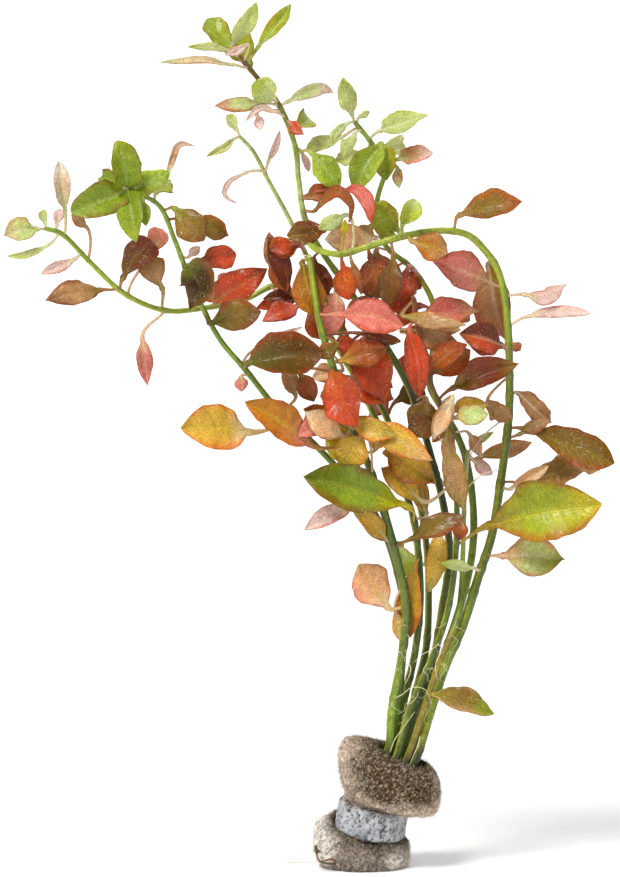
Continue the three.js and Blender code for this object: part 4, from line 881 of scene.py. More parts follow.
SPRIGS: tuple[Leaf, ...] = (
    # right of the arching stem
    Leaf(ARCHING, (35.2, 143.6), ((40, 6, 143.4), (45, 5, 142.3), (50.5, 3, 146)), 4.2, -20, Tone.BLUSH),
    Strap(ARCHING, (36, 135.6), ((41, 6, 138), (48.8, 4, 139.4), (56.8, 1, 138.6)), 3, -20, Tone.BLUSH),
    Leaf(ARCHING, (36, 131), ((37.2, 6, 131), (39, 5, 129.4)), 2.6, -10, Tone.RUST),
    Leaf(ARCHING, (36, 113.4), ((34.4, 5, 112.8), (29.8, 1, 116.4)), 4.6, 15, Tone.TAN),
    Leaf(ARCHING, (33.8, 94.6), ((36.6, 4.4, 94.8), (46, 2, 100.6)), 3, -20, Tone.PALE),
    Leaf(ARCHING, (28.8, 74.6), ((26.8, -3.4, 75), (18.8, -8.4, 76.2)), 2.8, 0, Tone.PALE_GLARE),
    Strap(ARCHING, (18, 44), ((16.8, -6, 43.4), (32.4, -6.6, 38.4)), 5.8, -25, Tone.OLIVE,
          coat="KHAKI OLIVE FERN TAN KHAKI"),
    Leaf(ARCHING, (9.4, 157.7), ((8, -0.4, 159.6), (2.4, 2.4, 166.2)), 6, 0, Tone.LIME, outline=Outline.ROUND),
    Strap(ARCHING, (-4.2, 153.6), ((-3.4, -8.6, 151.4), (-0.8, -10.6, 143)), 2, 0, Tone.BROWN),
    Strap(ARCHING, (-6.2, 153.3), ((-5.6, -6.6, 158), (-5, -7, 162)), 1.6, 0, Tone.GOLD),
    # tip of the upright stem
    Leaf(UPRIGHT, (-31.6, 202.8), ((-33, -3.4, 205.6), (-27, -8, 215.7)), 4.3, 10, Tone.PALE_GLARE),
    Leaf(UPRIGHT, (-31.6, 202.8), ((-33.6, -1, 205), (-39.6, 3, 212)), 5.6, 10, Tone.LIME, outline=Outline.ROUND),
    Strap(UPRIGHT, (-31.6, 202.8), ((-34, -4, 204), (-44.2, -9, 204.6)), 2, 20, Tone.PALE_GLARE),
    Leaf(UPRIGHT, (-28.6, 199.2), ((-28.6, 2, 200.8), (-33.2, 6, 208.6)), 7.6, 10, Tone.LIME, outline=Outline.ROUND),
    Leaf(UPRIGHT, (-30.4, 201.4), ((-29.6, -5, 205.4), (-35, -9, 202.5)), 2.2, 0, Tone.BLUSH),
    Strap(UPRIGHT, (-29.3, 200), ((-33, -5, 200.4), (-51, -13, 200.6)), 1.9, 20, Tone.PALE_GLARE,
          coat="MINT SAND MINT TAN CREAM"),
    Leaf(UPRIGHT, (-30, 200.8), ((-26.7, 3, 205), (-18.3, 8, 216.2)), 3.4, -10, Tone.LIME),
    Leaf(UPRIGHT, (-22, 191.2), ((-22.8, -2, 192), (-27.6, -7, 196.2)), 6, 15, Tone.PALE_GLARE, outline=Outline.ROUND),
    Strap(UPRIGHT, (-21.5, 190.5), ((-25.5, -3, 191), (-37.5, -8, 190)), 3.6, 15, Tone.PALE_GLARE,
          coat="MINT MINT PINK RUST CREAM"),
    Leaf(UPRIGHT, (-21.2, 190), ((-19.4, 4, 191.4), (-10.8, 9, 195), (-7.8, 10, 193.8)), 3.3, -15, Tone.PALE_GLARE,
         coat="MINT MINT BLUSH BLUSH CREAM"),
    Strap(UPRIGHT, (-20.2, 187.4), ((-22.6, -3, 188.8), (-26, -5, 189.4), (-29.8, -6, 186.2)), 1.8, 0, Tone.BLUSH),
    Leaf(UPRIGHT, (-21.6, 189), ((-27, -3, 187.9), (-25.8, -5, 184.2)), 2.5, 0, Tone.BLUSH),
    Leaf(UPRIGHT, (-19.8, 187), ((-18.8, 0, 186.2), (-15.2, -3, 183)), 3, 0, Tone.PINK,
         coat="PINK RED PINK RUST PEACH"),
    Strap(UPRIGHT, (-17.4, 180), ((-15.8, 4.2, 178.8), (-14, 4.6, 174)), 1.8, 0, Tone.BLUSH),
    Leaf(UPRIGHT, (-15.8, 167), ((-14.2, 0.4, 167.4), (-8.4, 1.4, 170)), 4.6, -15, Tone.RUST),
    Strap(UPRIGHT, (-15.2, 163.6), ((-12.6, -2.4, 164.2), (-6.8, -8, 168.6), (-3.4, -9, 165.4), (-4.2, -10, 161)), 3, 0,
          Tone.BROWN),
    Leaf(UPRIGHT, (-14.6, 161), ((-18, 2.6, 156), (-24, 1, 154.4)), 5, 20, Tone.RED),
    Leaf(UPRIGHT, (-18.6, 184), ((-17.4, 7, 185.4), (-14.6, 16, 188)), 5, 0, Tone.LIME),
    Leaf(UPRIGHT, (-21.5, 190.5), ((-22.4, 6, 192.2), (-25, 15, 196)), 5, 0, Tone.PALE_GLARE),
    # left of it
    Strap(BACK, (-25, 173.6), ((-24.2, 3, 176.4), (-21.2, 0, 184.3)), 1.7, 0, Tone.BLUSH),
    Strap(BACK, (-31.3, 182.8), ((-32.6, 2.6, 182.2), (-39.7, -2, 177.6)), 1.9, 0, Tone.PALE_GLARE),
    Leaf(BACK, (-31.3, 182.8), ((-32, 5.4, 184.4), (-34.4, 9, 188.4)), 2.6, 0, Tone.PALE_GLARE),
    Leaf(BACK, (-17.2, 158.6), ((-22.8, 5, 153.6), (-19.4, 2.4, 143.8)), 5, 0, Tone.RUST),
    Leaf(BACK, (-10.4, 143.4), ((-14, 4, 139.8), (-9, 2.4, 131.8)), 6.4, 0, Tone.RUST),
    Leaf(BACK, (-12, 147), ((-17, 0.6, 140.4), (-25.8, -3, 136.6)), 5, 15, Tone.RED,
         coat="CORAL RED CORAL BRICK PEACH"),
    Leaf(BACK, (-4, 129), ((-1, 14, 130), (4.6, 27, 132)), 8.4, -10, Tone.MAROON),
    Leaf(BACK, (5.5, 112.5), ((6, 14, 114), (4, 26, 117)), 8, -10, Tone.RED),
    Leaf(BACK, (12.4, 96), ((13.6, 13.4, 97.4), (17, 25, 100)), 8, 10, Tone.GOLD),
    Leaf(BACK, (15.8, 76), ((14, 11.6, 76), (9, 22, 79)), 7.6, -20, Tone.LIME),
    # top right shoot
    Leaf(SHOOT, (-2.8, 186.8), ((-3.3, 8, 188.4), (-5.7, 4, 197.5)), 4.6, 0, Tone.PALE_GLARE),
    Leaf(SHOOT, (-2.2, 186), ((-1.4, 10.6, 187.8), (1.1, 14, 189.3)), 1.8, 0, Tone.PALE_GLARE),
    Strap(SHOOT, (-2.8, 186.8), ((-4.6, 7, 186), (-7.8, 4, 183.6), (-8, 3, 180.2)), 2.3, 0, Tone.PALE_GLARE),
    Leaf(SHOOT, (-1.4, 185), ((-6, 12, 182.8), (-15, 18, 179.5)), 3.6, 10, Tone.PALE_GLARE),
    Leaf(SHOOT, (-0.8, 184.2), ((-2.6, 6, 183.4), (-5.6, 2, 177)), 3.4, 10, Tone.PALE_GLARE),
    Leaf(SHOOT, (1.4, 181.6), ((-0.5, 13, 179), (-7.6, 18, 177.3)), 3.6, 10, Tone.PALE_GLARE),
    Leaf(SHOOT, (3, 179.6), ((4.6, 9.2, 180.8), (5.4, 6, 171.8)), 5.6, 0, Tone.LIME),
    Leaf(SHOOT, (4.6, 176.4), ((8.5, 8.6, 177.3), (17, 4, 178.7)), 4.6, -20, Tone.BLUSH,
         coat="MINT TAN BLUSH PINK CREAM"),
    Leaf(SHOOT, (5, 175), ((8, 8.4, 175.4), (8.6, 6, 169.8)), 2.5, 0, Tone.PALE_GLARE, coat="MINT TAN MINT OLIVE CREAM"),
    Leaf(SHOOT, (3, 179), ((4.6, 14, 180.4), (9.6, 23, 182)), 5, 0, Tone.PALE_GLARE),
    Leaf(SHOOT, (3.2, 160), ((1.6, 5.6, 160.6), (-2.4, 3.6, 156.6)), 4.6, 0, Tone.TAN),
    Leaf(SHOOT, (12.4, 149), ((10.4, 2.4, 149.2), (8, -0.6, 140.6)), 5, 0, Tone.RED),
    Leaf(SHOOT, (13.4, 147.6), ((9.8, 9, 148.8), (14.2, 7, 144.8)), 4.6, 0, Tone.RUST),
    Strap(SHOOT, (25.4, 102.4), ((28.8, 13.4, 102.6), (42.2, 15, 106.4)), 4, -20, Tone.TAN),
    Leaf(SHOOT, (17.2, 131), ((18, 20, 132.4), (22, 32, 134)), 8, 0, Tone.RUST),
    Leaf(SHOOT, (16.6, 139), ((14, 20, 140.8), (7, 31, 142)), 8, -10, Tone.RED),
    Leaf(SHOOT, (23, 109), ((22, 19, 110), (17, 29, 112)), 7.6, -10, Tone.OLIVE),
    # far left branch
    Leaf(FAR_LEFT, (-38.4, 140.5), ((-36.2, 17.5, 144.8), (-33.4, 18, 148.9)), 4.2, 0, Tone.PINK),
    Leaf(FAR_LEFT, (-22, 145.8), ((-23.6, 12, 150.6), (-24, 8, 159.2)), 3.6, 0, Tone.PINK,
         coat="PEACH TAN PINK PINK CREAM"),
    Leaf(FAR_LEFT, (-24, 145.2), ((-21.6, 10, 141.6), (-27.3, 7, 140)), 3, 0, Tone.RED,
         coat="CORAL RED RED BRICK PEACH"),
    Leaf(FAR_LEFT, (-21, 145.6), ((-20, 12, 145), (-19.4, 9.4, 139.8)), 5, 0, Tone.MAROON),
    Leaf(FAR_LEFT, (-50, 139.5), ((-55.8, 11, 132.6), (-54.5, 8, 120.5)), 4, 0, Tone.PINK),
    Leaf(FAR_LEFT, (-50.6, 139.6), ((-50.8, 12.6, 145), (-54.2, 10, 152.4)), 6.4, 0, Tone.TAN,
         coat="KHAKI TAN OLIVE BROWN SAND", outline=Outline.FUNNEL),
    Leaf(FAR_LEFT, (-59, 143), ((-55, 14, 152), (-50.6, 13, 159.8)), 5.2, 0, Tone.PINK, coat="TAN TAN PINK PINK CREAM",
         outline=Outline.FUNNEL),
    Leaf(FAR_LEFT, (-69.4, 152), ((-69.8, 9, 160.4), (-73.4, 6, 163.6)), 2.6, 0, Tone.TAN),
    Leaf(FAR_LEFT, (-71, 153.6), ((-72.4, 8, 152.4), (-81, 5, 148.5)), 2.7, 20, Tone.BLUSH),
    Leaf(FAR_LEFT, (-80, 159.9), ((-80, 10.4, 161), (-80.6, 13, 164.8)), 2.2, 0, Tone.PALE_GLARE),
    Leaf(FAR_LEFT, (-77.2, 159.3), ((-77.2, 11, 160.8), (-76.4, 13, 165)), 2.6, 0, Tone.BLUSH),
    Strap(FAR_LEFT, (-76.2, 158.8), ((-79.2, 7.6, 155.8), (-85, 5, 153), (-89.6, 4, 153)), 1.8, 15, Tone.PALE_GLARE),
    Strap(FAR_LEFT, (12.4, 86.6), ((15.4, -1.2, 88.6), (12.8, -1.2, 94.4), (3.9, -1.2, 100.2)), 5, 0, Tone.GOLD,
          coat="KHAKI HONEY KHAKI TAN CREAM"),
    Strap(FAR_LEFT, (13.4, 77.4), ((12.6, -2.6, 75.4), (11.2, -2.3, 57.4)), 6.4, 28, Tone.AMBER,
          coat="HONEY HONEY AMBER ORANGE HONEY", ripple=0.03),
    Leaf(FAR_LEFT, (0, 118), ((-3, 20, 119), (-11, 31, 118.4)), 8, 10, Tone.AMBER),
    Leaf(FAR_LEFT, (-15, 141), ((-14.6, 24, 142), (-9.6, 35, 141)), 7.4, -10, Tone.RED),
    Leaf(FAR_LEFT, (-36, 140.8), ((-36.6, 22, 142), (-39, 31, 146)), 6, 0, Tone.RUST),
    # left rosette branch
    Leaf(ROSETTE, (-45.6, 152.4), ((-43.8, -10, 152.6), (-41.2, -11, 155.2)), 2.2, 0, Tone.BLUSH),
    Leaf(ROSETTE, (-56.2, 168), ((-55.2, -17, 166.6), (-54.4, -20, 160)), 2.8, 0, Tone.GREEN),
    Leaf(ROSETTE, (-58.6, 168.9), ((-60, -16.4, 169.6), (-62.4, -18, 171.4)), 2.5, 0, Tone.PALE_GLARE),
    Leaf(ROSETTE, (-57.4, 168.4), ((-57, -15.6, 170), (-56.6, -17, 173)), 2.2, 0, Tone.PALE_GLARE),
    Strap(ROSETTE, (-54.6, 167.4), ((-49.4, -11.6, 172), (-47.3, -10, 177), (-46, -9, 180.2), (-42.3, -8, 180.2)), 1.7,
          0, Tone.BLUSH, coat="MINT TAN BLUSH PINK CREAM"),
    Leaf(ROSETTE, (-49.6, 162), ((-42.4, -9, 162), (-33.8, -8, 157.6)), 5.2, -10, Tone.OLIVE),
    Leaf(ROSETTE, (-42.4, 144), ((-40, -11.6, 152), (-32, -11, 153)), 5.8, -5, Tone.RED,
         coat="RUST RED RED BRICK CORAL", outline=Outline.ROUND),
    Strap(ROSETTE, (-30.8, 125.6), ((-27.4, -5, 129.6), (-15.5, -4, 135.4)), 1.6, 0, Tone.BLUSH),
    Leaf(ROSETTE, (-29, 123.6), ((-31, -8.4, 122.8), (-30.8, -10.4, 119)), 3.3, 0, Tone.PINK),
    Leaf(ROSETTE, (-20.6, 113.6), ((-17.4, -4.4, 118.4), (-20.4, -6, 125.8)), 4, 0, Tone.TAN),
    Leaf(ROSETTE, (-16.4, 109.7), ((-15.4, -3.4, 110.6), (-10.6, -5, 114)), 4, 0, Tone.PINK),
    Leaf(ROSETTE, (-52.6, 166.2), ((-52, -8, 168.6), (-49, 0, 172)), 5, 0, Tone.LIME),
    Leaf(ROSETTE, (-58.4, 168.8), ((-61, -11, 170.4), (-66, -5, 172.4)), 5, 10, Tone.GREEN),
    # front left stem
    Strap(FRONT_LEFT, (-10.6, 134), ((-1.4, -4.4, 133.6), (9, -4.4, 131.6)), 3, 0, Tone.MAROON),
    Leaf(FRONT_LEFT, (-9.8, 131.6), ((-7.6, -3.6, 130.6), (-2, -3.4, 131.4)), 4.6, 0, Tone.RED),
    Leaf(FRONT_LEFT, (-0.4, 104), ((2.6, -5, 104.6), (3.8, -6.4, 109.8)), 3.6, 0, Tone.GOLD,
         coat="HONEY HONEY HONEY ORANGE CREAM"),
    Strap(FRONT_LEFT, (4.4, 89.7), ((-3, -8.6, 91), (-15.3, -12, 84.5)), 4.6, 10, Tone.BLUSH),
    Leaf(FRONT_LEFT, (6.8, 81), ((5, -6.4, 82.6), (-3.4, -7.4, 90.2)), 4.4, 10, Tone.GOLD,
         coat="KHAKI HONEY KHAKI TAN CREAM"),
    Strap(FRONT_LEFT, (9.8, 70), ((7.6, -4, 64.4), (8.9, -4.2, 56.5)), 2.8, 0, Tone.AMBER,
          coat="PEACH HONEY PEACH ORANGE CREAM"),
    Leaf(FRONT_LEFT, (7.4, 79.5), ((11.6, -9.6, 82.4), (25, -12, 88.3)), 5.6, -20, Tone.OLIVE,
         coat="DARK_OLIVE OLIVE BROWN BRICK KHAKI"),
    # middle stems
    Leaf(MIDDLE, (20.8, 111), ((22.8, -7.2, 112.6), (30.8, -9.2, 113.5)), 5, -15, Tone.PALE_GLARE,
         coat="HONEY MINT MINT TAN CREAM"),
    Leaf(MIDDLE, (13.2, 135), ((15, -4.6, 136.2), (24, -4.6, 134.4)), 4.6, -5, Tone.TAN),
    Strap(MIDDLE, (19, 115.6), ((21.8, -8.4, 117.6), (18.8, -9.2, 111.5), (17, -9, 107)), 4.4, 0, Tone.PALE),
    Leaf(MIDDLE, (21.6, 107), ((20, -6, 106.4), (24.8, -7.4, 89)), 5.6, 0, Tone.TAN, coat="KHAKI TAN KHAKI OLIVE SAND"),
    Leaf(MIDDLE, (22.8, 87.6), ((24.2, -5, 86.6), (23.4, -6.4, 81.6)), 3.6, 0, Tone.BROWN),
    Strap(UPRIGHT, (20.6, 85.6), ((18.4, -3, 84), (16, -5.4, 68.8)), 4.8, 0, Tone.GOLD,
          coat="HONEY HONEY KHAKI AMBER CREAM"),
    Strap(PALE, (25.7, 103.6), ((27.2, 4.6, 102), (32, 3, 98.3)), 3, 0, Tone.BLUSH),
    Strap(PALE, (25.7, 103.6), ((27, 5.4, 105.6), (32.3, 5, 109.2)), 1.8, 0, Tone.PALE_GLARE),
    # in the thick of the bunch
    Leaf(FRONT_LEFT, (-10, 132.5), ((-7, -8, 130.5), (-12.5, -10, 127.5)), 4, 0, Tone.OLIVE),
    Leaf(FRONT_LEFT, (-9.2, 129.5), ((-6.2, -3, 124), (-13.2, -2, 122.5)), 5, 10, Tone.PALE),
    Leaf(FRONT_LEFT, (-7.7, 124), ((-16.2, -8, 123.5), (-12.7, -9, 116.5)), 4.8, 0, Tone.BROWN),
    Leaf(FRONT_LEFT, (-4.2, 114), ((-8.7, -8, 113), (-16.7, -12, 108)), 4.5, 10, Tone.PINK),
    Leaf(FRONT_LEFT, (-3.2, 111), ((-5.5, -9, 108), (-15, -12, 114)), 6, 10, Tone.PALE),
    Leaf(FRONT_LEFT, (-2.7, 109.5), ((-3.7, -10, 111.8), (7.8, -13, 108)), 5.5, -10, Tone.GOLD,
         coat="HONEY HONEY KHAKI ORANGE CREAM"),
    Leaf(FRONT_LEFT, (-2.5, 109), ((-8.7, -6, 112), (-15.5, -8, 114.8)), 4.5, 15, Tone.AMBER),
    Leaf(FRONT_LEFT, (1.8, 98), ((-0.7, -10, 108.5), (-6.2, -12, 100)), 7.5, 0, Tone.GOLD,
         coat="HONEY HONEY GOLD AMBER CREAM"),
    Leaf(FAR_LEFT, (13.5, 82), ((6.8, -3, 81.8), (-2.7, -5, 90.5)), 4.5, 10, Tone.GOLD,
         coat="KHAKI HONEY OLIVE TAN SAND"),
    Leaf(BACK, (-14.7, 154), ((-17, 4, 155.5), (-23.5, 2, 153.5)), 3.8, 10, Tone.RED),
    Leaf(BACK, (-12, 147), ((-18.7, 3, 144), (-24.2, 2.5, 158)), 5, 12, Tone.MAROON),
    Leaf(BACK, (-11.2, 145.5), ((-17, 6, 144), (-25.7, 6, 142.3)), 3.5, 10, Tone.MAROON),
    Strap(BACK, (-25.7, 174), ((-29.7, 4, 173.8), (-34.2, 3.3, 171.5), (-35.2, 2.7, 168.5), (-32, 2, 166)), 1.3, 0,
          Tone.BLUSH),
    Leaf(BACK, (-4, 129), ((-5.2, 12, 134.5), (-10.7, 16, 140.5)), 6, 0, Tone.RUST),
    Leaf(BACK, (5.5, 112.5), ((8.3, 12, 117), (14.8, 16, 120)), 6, 0, Tone.OLIVE,
         coat="DARK_OLIVE DARK_OLIVE UMBER BROWN KHAKI"),
    Leaf(SHOOT, (6.3, 154.5), ((2.8, 3, 153.5), (4.3, 0, 142.5)), 8, 0, Tone.RUST),
    Leaf(SHOOT, (12, 149.8), ((12.3, 5, 148), (7, 2, 142)), 5.5, 0, Tone.RED),
    Leaf(SHOOT, (10, 151.5), ((6.8, 6, 147), (11.3, 4, 137.5)), 6.5, 0, Tone.RED),
    Leaf(SHOOT, (22.8, 109), ((26.3, 6, 108.3), (29.3, 1.5, 102.5)), 3, 0, Tone.PALE),
    Leaf(SHOOT, (17.3, 137), ((20.3, 16, 137.5), (26.3, 20, 140.5)), 5.5, 0, Tone.PINK, coat="TAN TAN PINK RUST CREAM"),
    Leaf(SHOOT, (16.5, 120), ((13.8, 17, 124), (8.3, 21, 127)), 6, 0, Tone.RED),
    Leaf(ARCHING, (36, 129.5), ((33.8, 6, 130.5), (25.3, 2, 132)), 7, 15, Tone.RUST),
    Leaf(ARCHING, (36.3, 123), ((31.3, 3, 115.5), (37, 1, 112)), 4, -10, Tone.TAN),
    Leaf(ARCHING, (34.8, 107), ((38.8, 6, 108.5), (46.3, 4, 112)), 3.8, -15, Tone.TAN),
    Leaf(ARCHING, (-3.2, 154.3), ((-5.2, -4, 163), (-11.7, -6, 159.3)), 4, 10, Tone.PALE_GLARE),
    Leaf(ARCHING, (1.8, 155.5), ((2.5, -1, 157.5), (-10.2, -3, 157)), 6.5, 10, Tone.PALE),
    Leaf(ARCHING, (7.8, 157.3), ((7, 0, 158), (1.3, -2, 166.3)), 6, 0, Tone.LIME),
    Leaf(ARCHING, (13.8, 158.5), ((14.8, -2, 157), (20.5, -4, 155.5)), 5, -10, Tone.BROWN),
    Leaf(MIDDLE, (12, 142), ((9.5, -6, 137.8), (25.3, -12.5, 135.5)), 4.5, -24, Tone.TAN),
    Leaf(MIDDLE, (13.3, 134.5), ((8.8, -3, 134.3), (23.3, -5, 131.3)), 5.5, -10, Tone.TAN),
    Leaf(MIDDLE, (14.8, 126.5), ((16.3, -3, 123.5), (26.3, -6, 129.5)), 6.5, -10, Tone.BROWN),
    Leaf(MIDDLE, (18.8, 116.5), ((18, -6, 112), (10.5, -9, 109.5)), 6.5, 10, Tone.BROWN,
         coat="BROWN BROWN DARK_OLIVE BROWN TAN"),
    Leaf(MIDDLE, (19.5, 114.5), ((21, -8, 117), (17.3, -10, 107.8)), 3.8, 0, Tone.PALE),
    Leaf(MIDDLE, (20.3, 112), ((21.8, -4, 114.3), (30.8, -6, 116)), 5, -10, Tone.GOLD,
         coat="HONEY HONEY KHAKI TAN CREAM"),
    Strap(MIDDLE, (21.3, 108.5), ((20.3, -6, 110), (22.3, -6, 98.5)), 3.3, 0, Tone.TAN),
    Leaf(MIDDLE, (22.8, 97), ((13.8, -5, 92), (4, -3.5, 100)), 5.5, 10, Tone.GOLD,
         coat="KHAKI HONEY AMBER AMBER CREAM"),
    Leaf(UPRIGHT, (-3, 143), ((-7.2, 0, 144), (-9.5, -2, 131.5)), 5.5, 0, Tone.PINK),
    Leaf(UPRIGHT, (-2, 141.5), ((2.8, -2, 142), (-5.5, -6, 138)), 4.5, 0, Tone.PINK),
    Leaf(UPRIGHT, (3.8, 132.8), ((-0.7, -3, 131), (4.8, -6, 116.5)), 9.5, 0, Tone.RED),
    Leaf(UPRIGHT, (1.3, 136.5), ((-5, 4, 128), (7, 2, 120)), 7, 0, Tone.RED),
    Strap(UPRIGHT, (-16.5, 167.3), ((-5.2, -3, 169.3), (-2.2, -4.7, 169), (0.8, -6.3, 165.5), (1.5, -8, 160.8)), 3.5, 0,
          Tone.RED, coat="RED CORAL RED BRICK PINK"),
)


# Forms


@dataclass(frozen=True)
class Joint:
    """Where a leaf leaves its stem."""

    place: Vector
    way: Vector


@dataclass
class Blade:
    """Builds one leaf: its stalk and its veined, folded and waved blade."""

    leaf: Leaf
    joint: Joint
    seed: int
    columns: int = 16
    step: float = 0.55
    stalk_half: float = 0.33
    thickness: float = 0.15
    fold: float = 0.26
    bow: float = 0.07
    vein_gap: float = 2.5
    slant: float = 60.0
    surface: float = 20.0
    thinnest: float = 0.12

    def __post_init__(self) -> None:
        """Sets the lines and the leaf's own irregularities."""
        chance = random.Random(self.seed)
        points = [seen(p) for p in self.leaf.blade]
        chord = points[-1] - points[0]
        self.along = chord.normalized()
        front = Vector((0, -1, 0))
        front = (front - self.along * front.dot(self.along)).normalized()
        self.face = Quaternion(self.along, math.radians(self.leaf.turn)) @ front
        if len(points) == 2:
            points.insert(1, points[0] + chord / 2 + self.face * chord.length * self.bow)
        self.line = Path(points)
        self.stalk = self._stalk_line(points[0])
        self.tints = tints(self.leaf.coat or self.leaf.tone.coat())
        self.twist = chance.uniform(-0.45, 0.45)
        self.curl = chance.uniform(-0.3, 0.2)
        self.folding = self.fold * chance.uniform(0.6, 1.5) * (1.9 if chance.random() < 0.3 else 1.0)
        self.waves = chance.uniform(0.9, 2.1)
        self.sickle = chance.uniform(-0.05, 0.05) * self.line.length
        self.wedge, self.point = chance.uniform(0.85, 1.3), chance.uniform(0.8, 1.15)
        self.phases = (chance.uniform(0, 6.3), chance.uniform(0, 6.3))
        self.ripple = self.leaf.ripple * self.leaf.width * chance.uniform(0.6, 1.4)
        self.tone = chance.uniform(0.86, 1.12)
        self.flushed_and_shaded_side = chance.choice((-1, 1))
        self.rough = chance.uniform(0, 50)

    def _stalk_line(self, base: Vector) -> Path:
        """Lays the stalk from the stem's middle to the blade's base.

        Args:
            base: the blade's base.

        Returns:
            The stalk's line.
        """
        reach = base - self.joint.place
        rise = -1 if reach.dot(self.joint.way) < 0 else 1
        out = (reach - self.joint.way * reach.dot(self.joint.way)).normalized()
        slant = math.radians(self.slant)
        lead = out * math.sin(slant) + self.joint.way * (rise * math.cos(slant))
        start = self.joint.place
        third = reach.length / 3
        second, third_place = start + lead * third, base - self.line.way(0) * third
        samples = []
        for i in range(9):
            t = i / 8
            near, far = (1 - t) ** 3 * start + 3 * (1 - t) ** 2 * t * second, 3 * (1 - t) * t * t * third_place
            samples.append(near + far + t**3 * base)
        return Path(samples)

    def _half(self, share: float, side: int) -> float:
        """Gives the half width on one side.

        Args:
            share: how far along the blade.
            side: -1 or 1.

        Returns:
            The half width.
        """
        wobble = 1.1 + 0.14 * noise.noise(Vector((share * 3.5, side * 7, self.rough)))
        wobble += 0.05 * noise.noise(Vector((share * 14, side * 7, self.rough)))
        wedge = self.wedge * (1 + 0.12 * side)
        return self.leaf.width / 2 * self.leaf.outline.half(share, wedge, self.point) * wobble

    def _rise(self, share: float, across: float, half: float) -> float:
        """Gives how far the blade's middle layer stands above its centre line.

        Args:
            share: how far along the blade.
            across: from -1 at one rim to 1 at the other.
            half: the blade's half width there.

        Returns:
            The rise.
        """
        reach = abs(across)
        side = 0 if across < 0 else 1
        rise = self.folding * half * reach**1.15 + self.curl * half * reach**3
        turn = share * self.waves * 2 * math.pi
        swell = math.sin(self.phases[side] + turn) + 0.4 * math.sin(self.phases[1 - side] + 2.7 * turn)
        rise += self.ripple * swell * reach**2 * smooth(0.02, 0.3, share)
        veins = (share * self.line.length - reach * half * 0.75) / self.vein_gap
        pillow = 1.5 * abs(math.sin(math.pi * veins)) * math.sin(math.pi * min(reach, 1.0))
        spot = Vector((share * self.line.length, across * half, self.rough))
        crumple = 0.6 * noise.noise(spot / 6) + 0.2 * noise.noise(spot / 1.8)
        rise += crumple * smooth(0.0, 0.2, share) * smooth(0.0, 0.4, reach)
        return rise + 0.16 * pillow - 0.14 * math.exp(-((across * half / 0.4) ** 2))

    def tint(self, share: float, across: float, half: float, below: bool, place: Vector) -> Tint:
        """Gives the blade's tint, with one half painted darker than the other as painted shade of its fold.

        Args:
            share: how far along the blade.
            across: from -1 at one rim to 1 at the other.
            half: the blade's half width there.
            below: whether it is on the underside.
            place: the place, for the mottling.

        Returns:
            The tint.
        """
        base, middle, tip, rim, rib = self.tints[:5]
        drift = 0.12 * grain(place, 5, self.rough)
        tint = mix(base, middle, smooth(0.0, 0.42, share + drift))
        tint = mix(tint, tip, smooth(0.5, 1.0, share + drift))
        if len(self.tints) > 5:
            tint = mix(tint, self.tints[5], smooth(0.0, 0.3, across + drift))
        blotch = grain(place, 2.6, self.rough + 3)
        tint = mix(tint, tip, 0.12 * smooth(0.1, 0.6, blotch))
        inner = 0.42 if across * self.flushed_and_shaded_side > 0 else 0.74
        edge = smooth(inner, 1.02, abs(across) + 0.22 * grain(place, 3.2, self.rough + 9))
        tint = mix(tint, rim, 0.8 * edge)
        speckle = 0.08 * grain(place, 1.2, self.rough) + 0.2 * grain(place, 0.5, self.rough)
        # Painted shade: one half of the blade is painted darker and the other lighter, as the fold would shade them;
        # the same side choice also widens the rim colour on one half.
        tint = shade(tint, self.tone * (1 + speckle + 0.05 * blotch) * (1 + 0.16 * self.flushed_and_shaded_side * across))
        tint = shade(tint, 1 - 0.35 * smooth(0.9, 1.0, abs(across)))
        if below:
            tint = mix(tint, Pigment.PINK.tint(), 0.2)
        middle_rib = math.exp(-((across * half / 0.26) ** 2)) * (0.5 - 0.35 * share)
        return mix(tint, rib, middle_rib)

    def _ring(self, skin: Skin, line: Path, share: float, halves: tuple[float, float], blade: bool) -> list[int]:
        """Adds one closed section.

        Args:
            skin: what it is added to.
            line: the line of the stalk or of the blade.
            share: how far along that line.
            halves: the half widths of the two sides.
            blade: whether it is part of the blade.

        Returns:
            The numbers of its points.
        """
        way = line.way(share)
        turn = self.along.rotation_difference(way)
        normal = turn @ self.face
        if blade:
            normal = Quaternion(way, self.twist * (share - 0.2)) @ normal
        side = way.cross(normal)
        centre = line.at(share)
        if blade:
            centre = centre + side * (self.sickle * math.sin(math.pi * share) ** 2)
        ring = []
        for k in range(2 * self.columns):
            angle = math.pi * k / self.columns
            across = -math.cos(angle)
            half = halves[0] if across < 0 else halves[1]
            below = k > self.columns
            body = math.sin(angle)
            if blade:
                layer = self.thickness * abs(body) ** 0.5 * (-1 if below else 1)
                layer -= 0.3 * math.exp(-((across * half / 0.5) ** 2)) * (1 - share) if below else 0
                up = self._rise(share, across, half) * smooth(0.0, 0.08, share) + layer
                grip = 1 - smooth(0.0, 0.1, share)
                up += body * self.stalk_half * 0.7 * grip
                u = share * line.length / self.surface
            else:
                up = body * self.stalk_half * 0.85
                u = -0.5
            point = centre + side * (across * half) + normal * up
            if blade:
                tint = self.tint(share, across, half, below, point)
            else:
                tint = mix(mix(self.tints[0], self.tints[4], 0.45), Pigment.PINK.tint(), 0.2)
            ring.append(skin.add(point, (u, across), tint))
        return ring

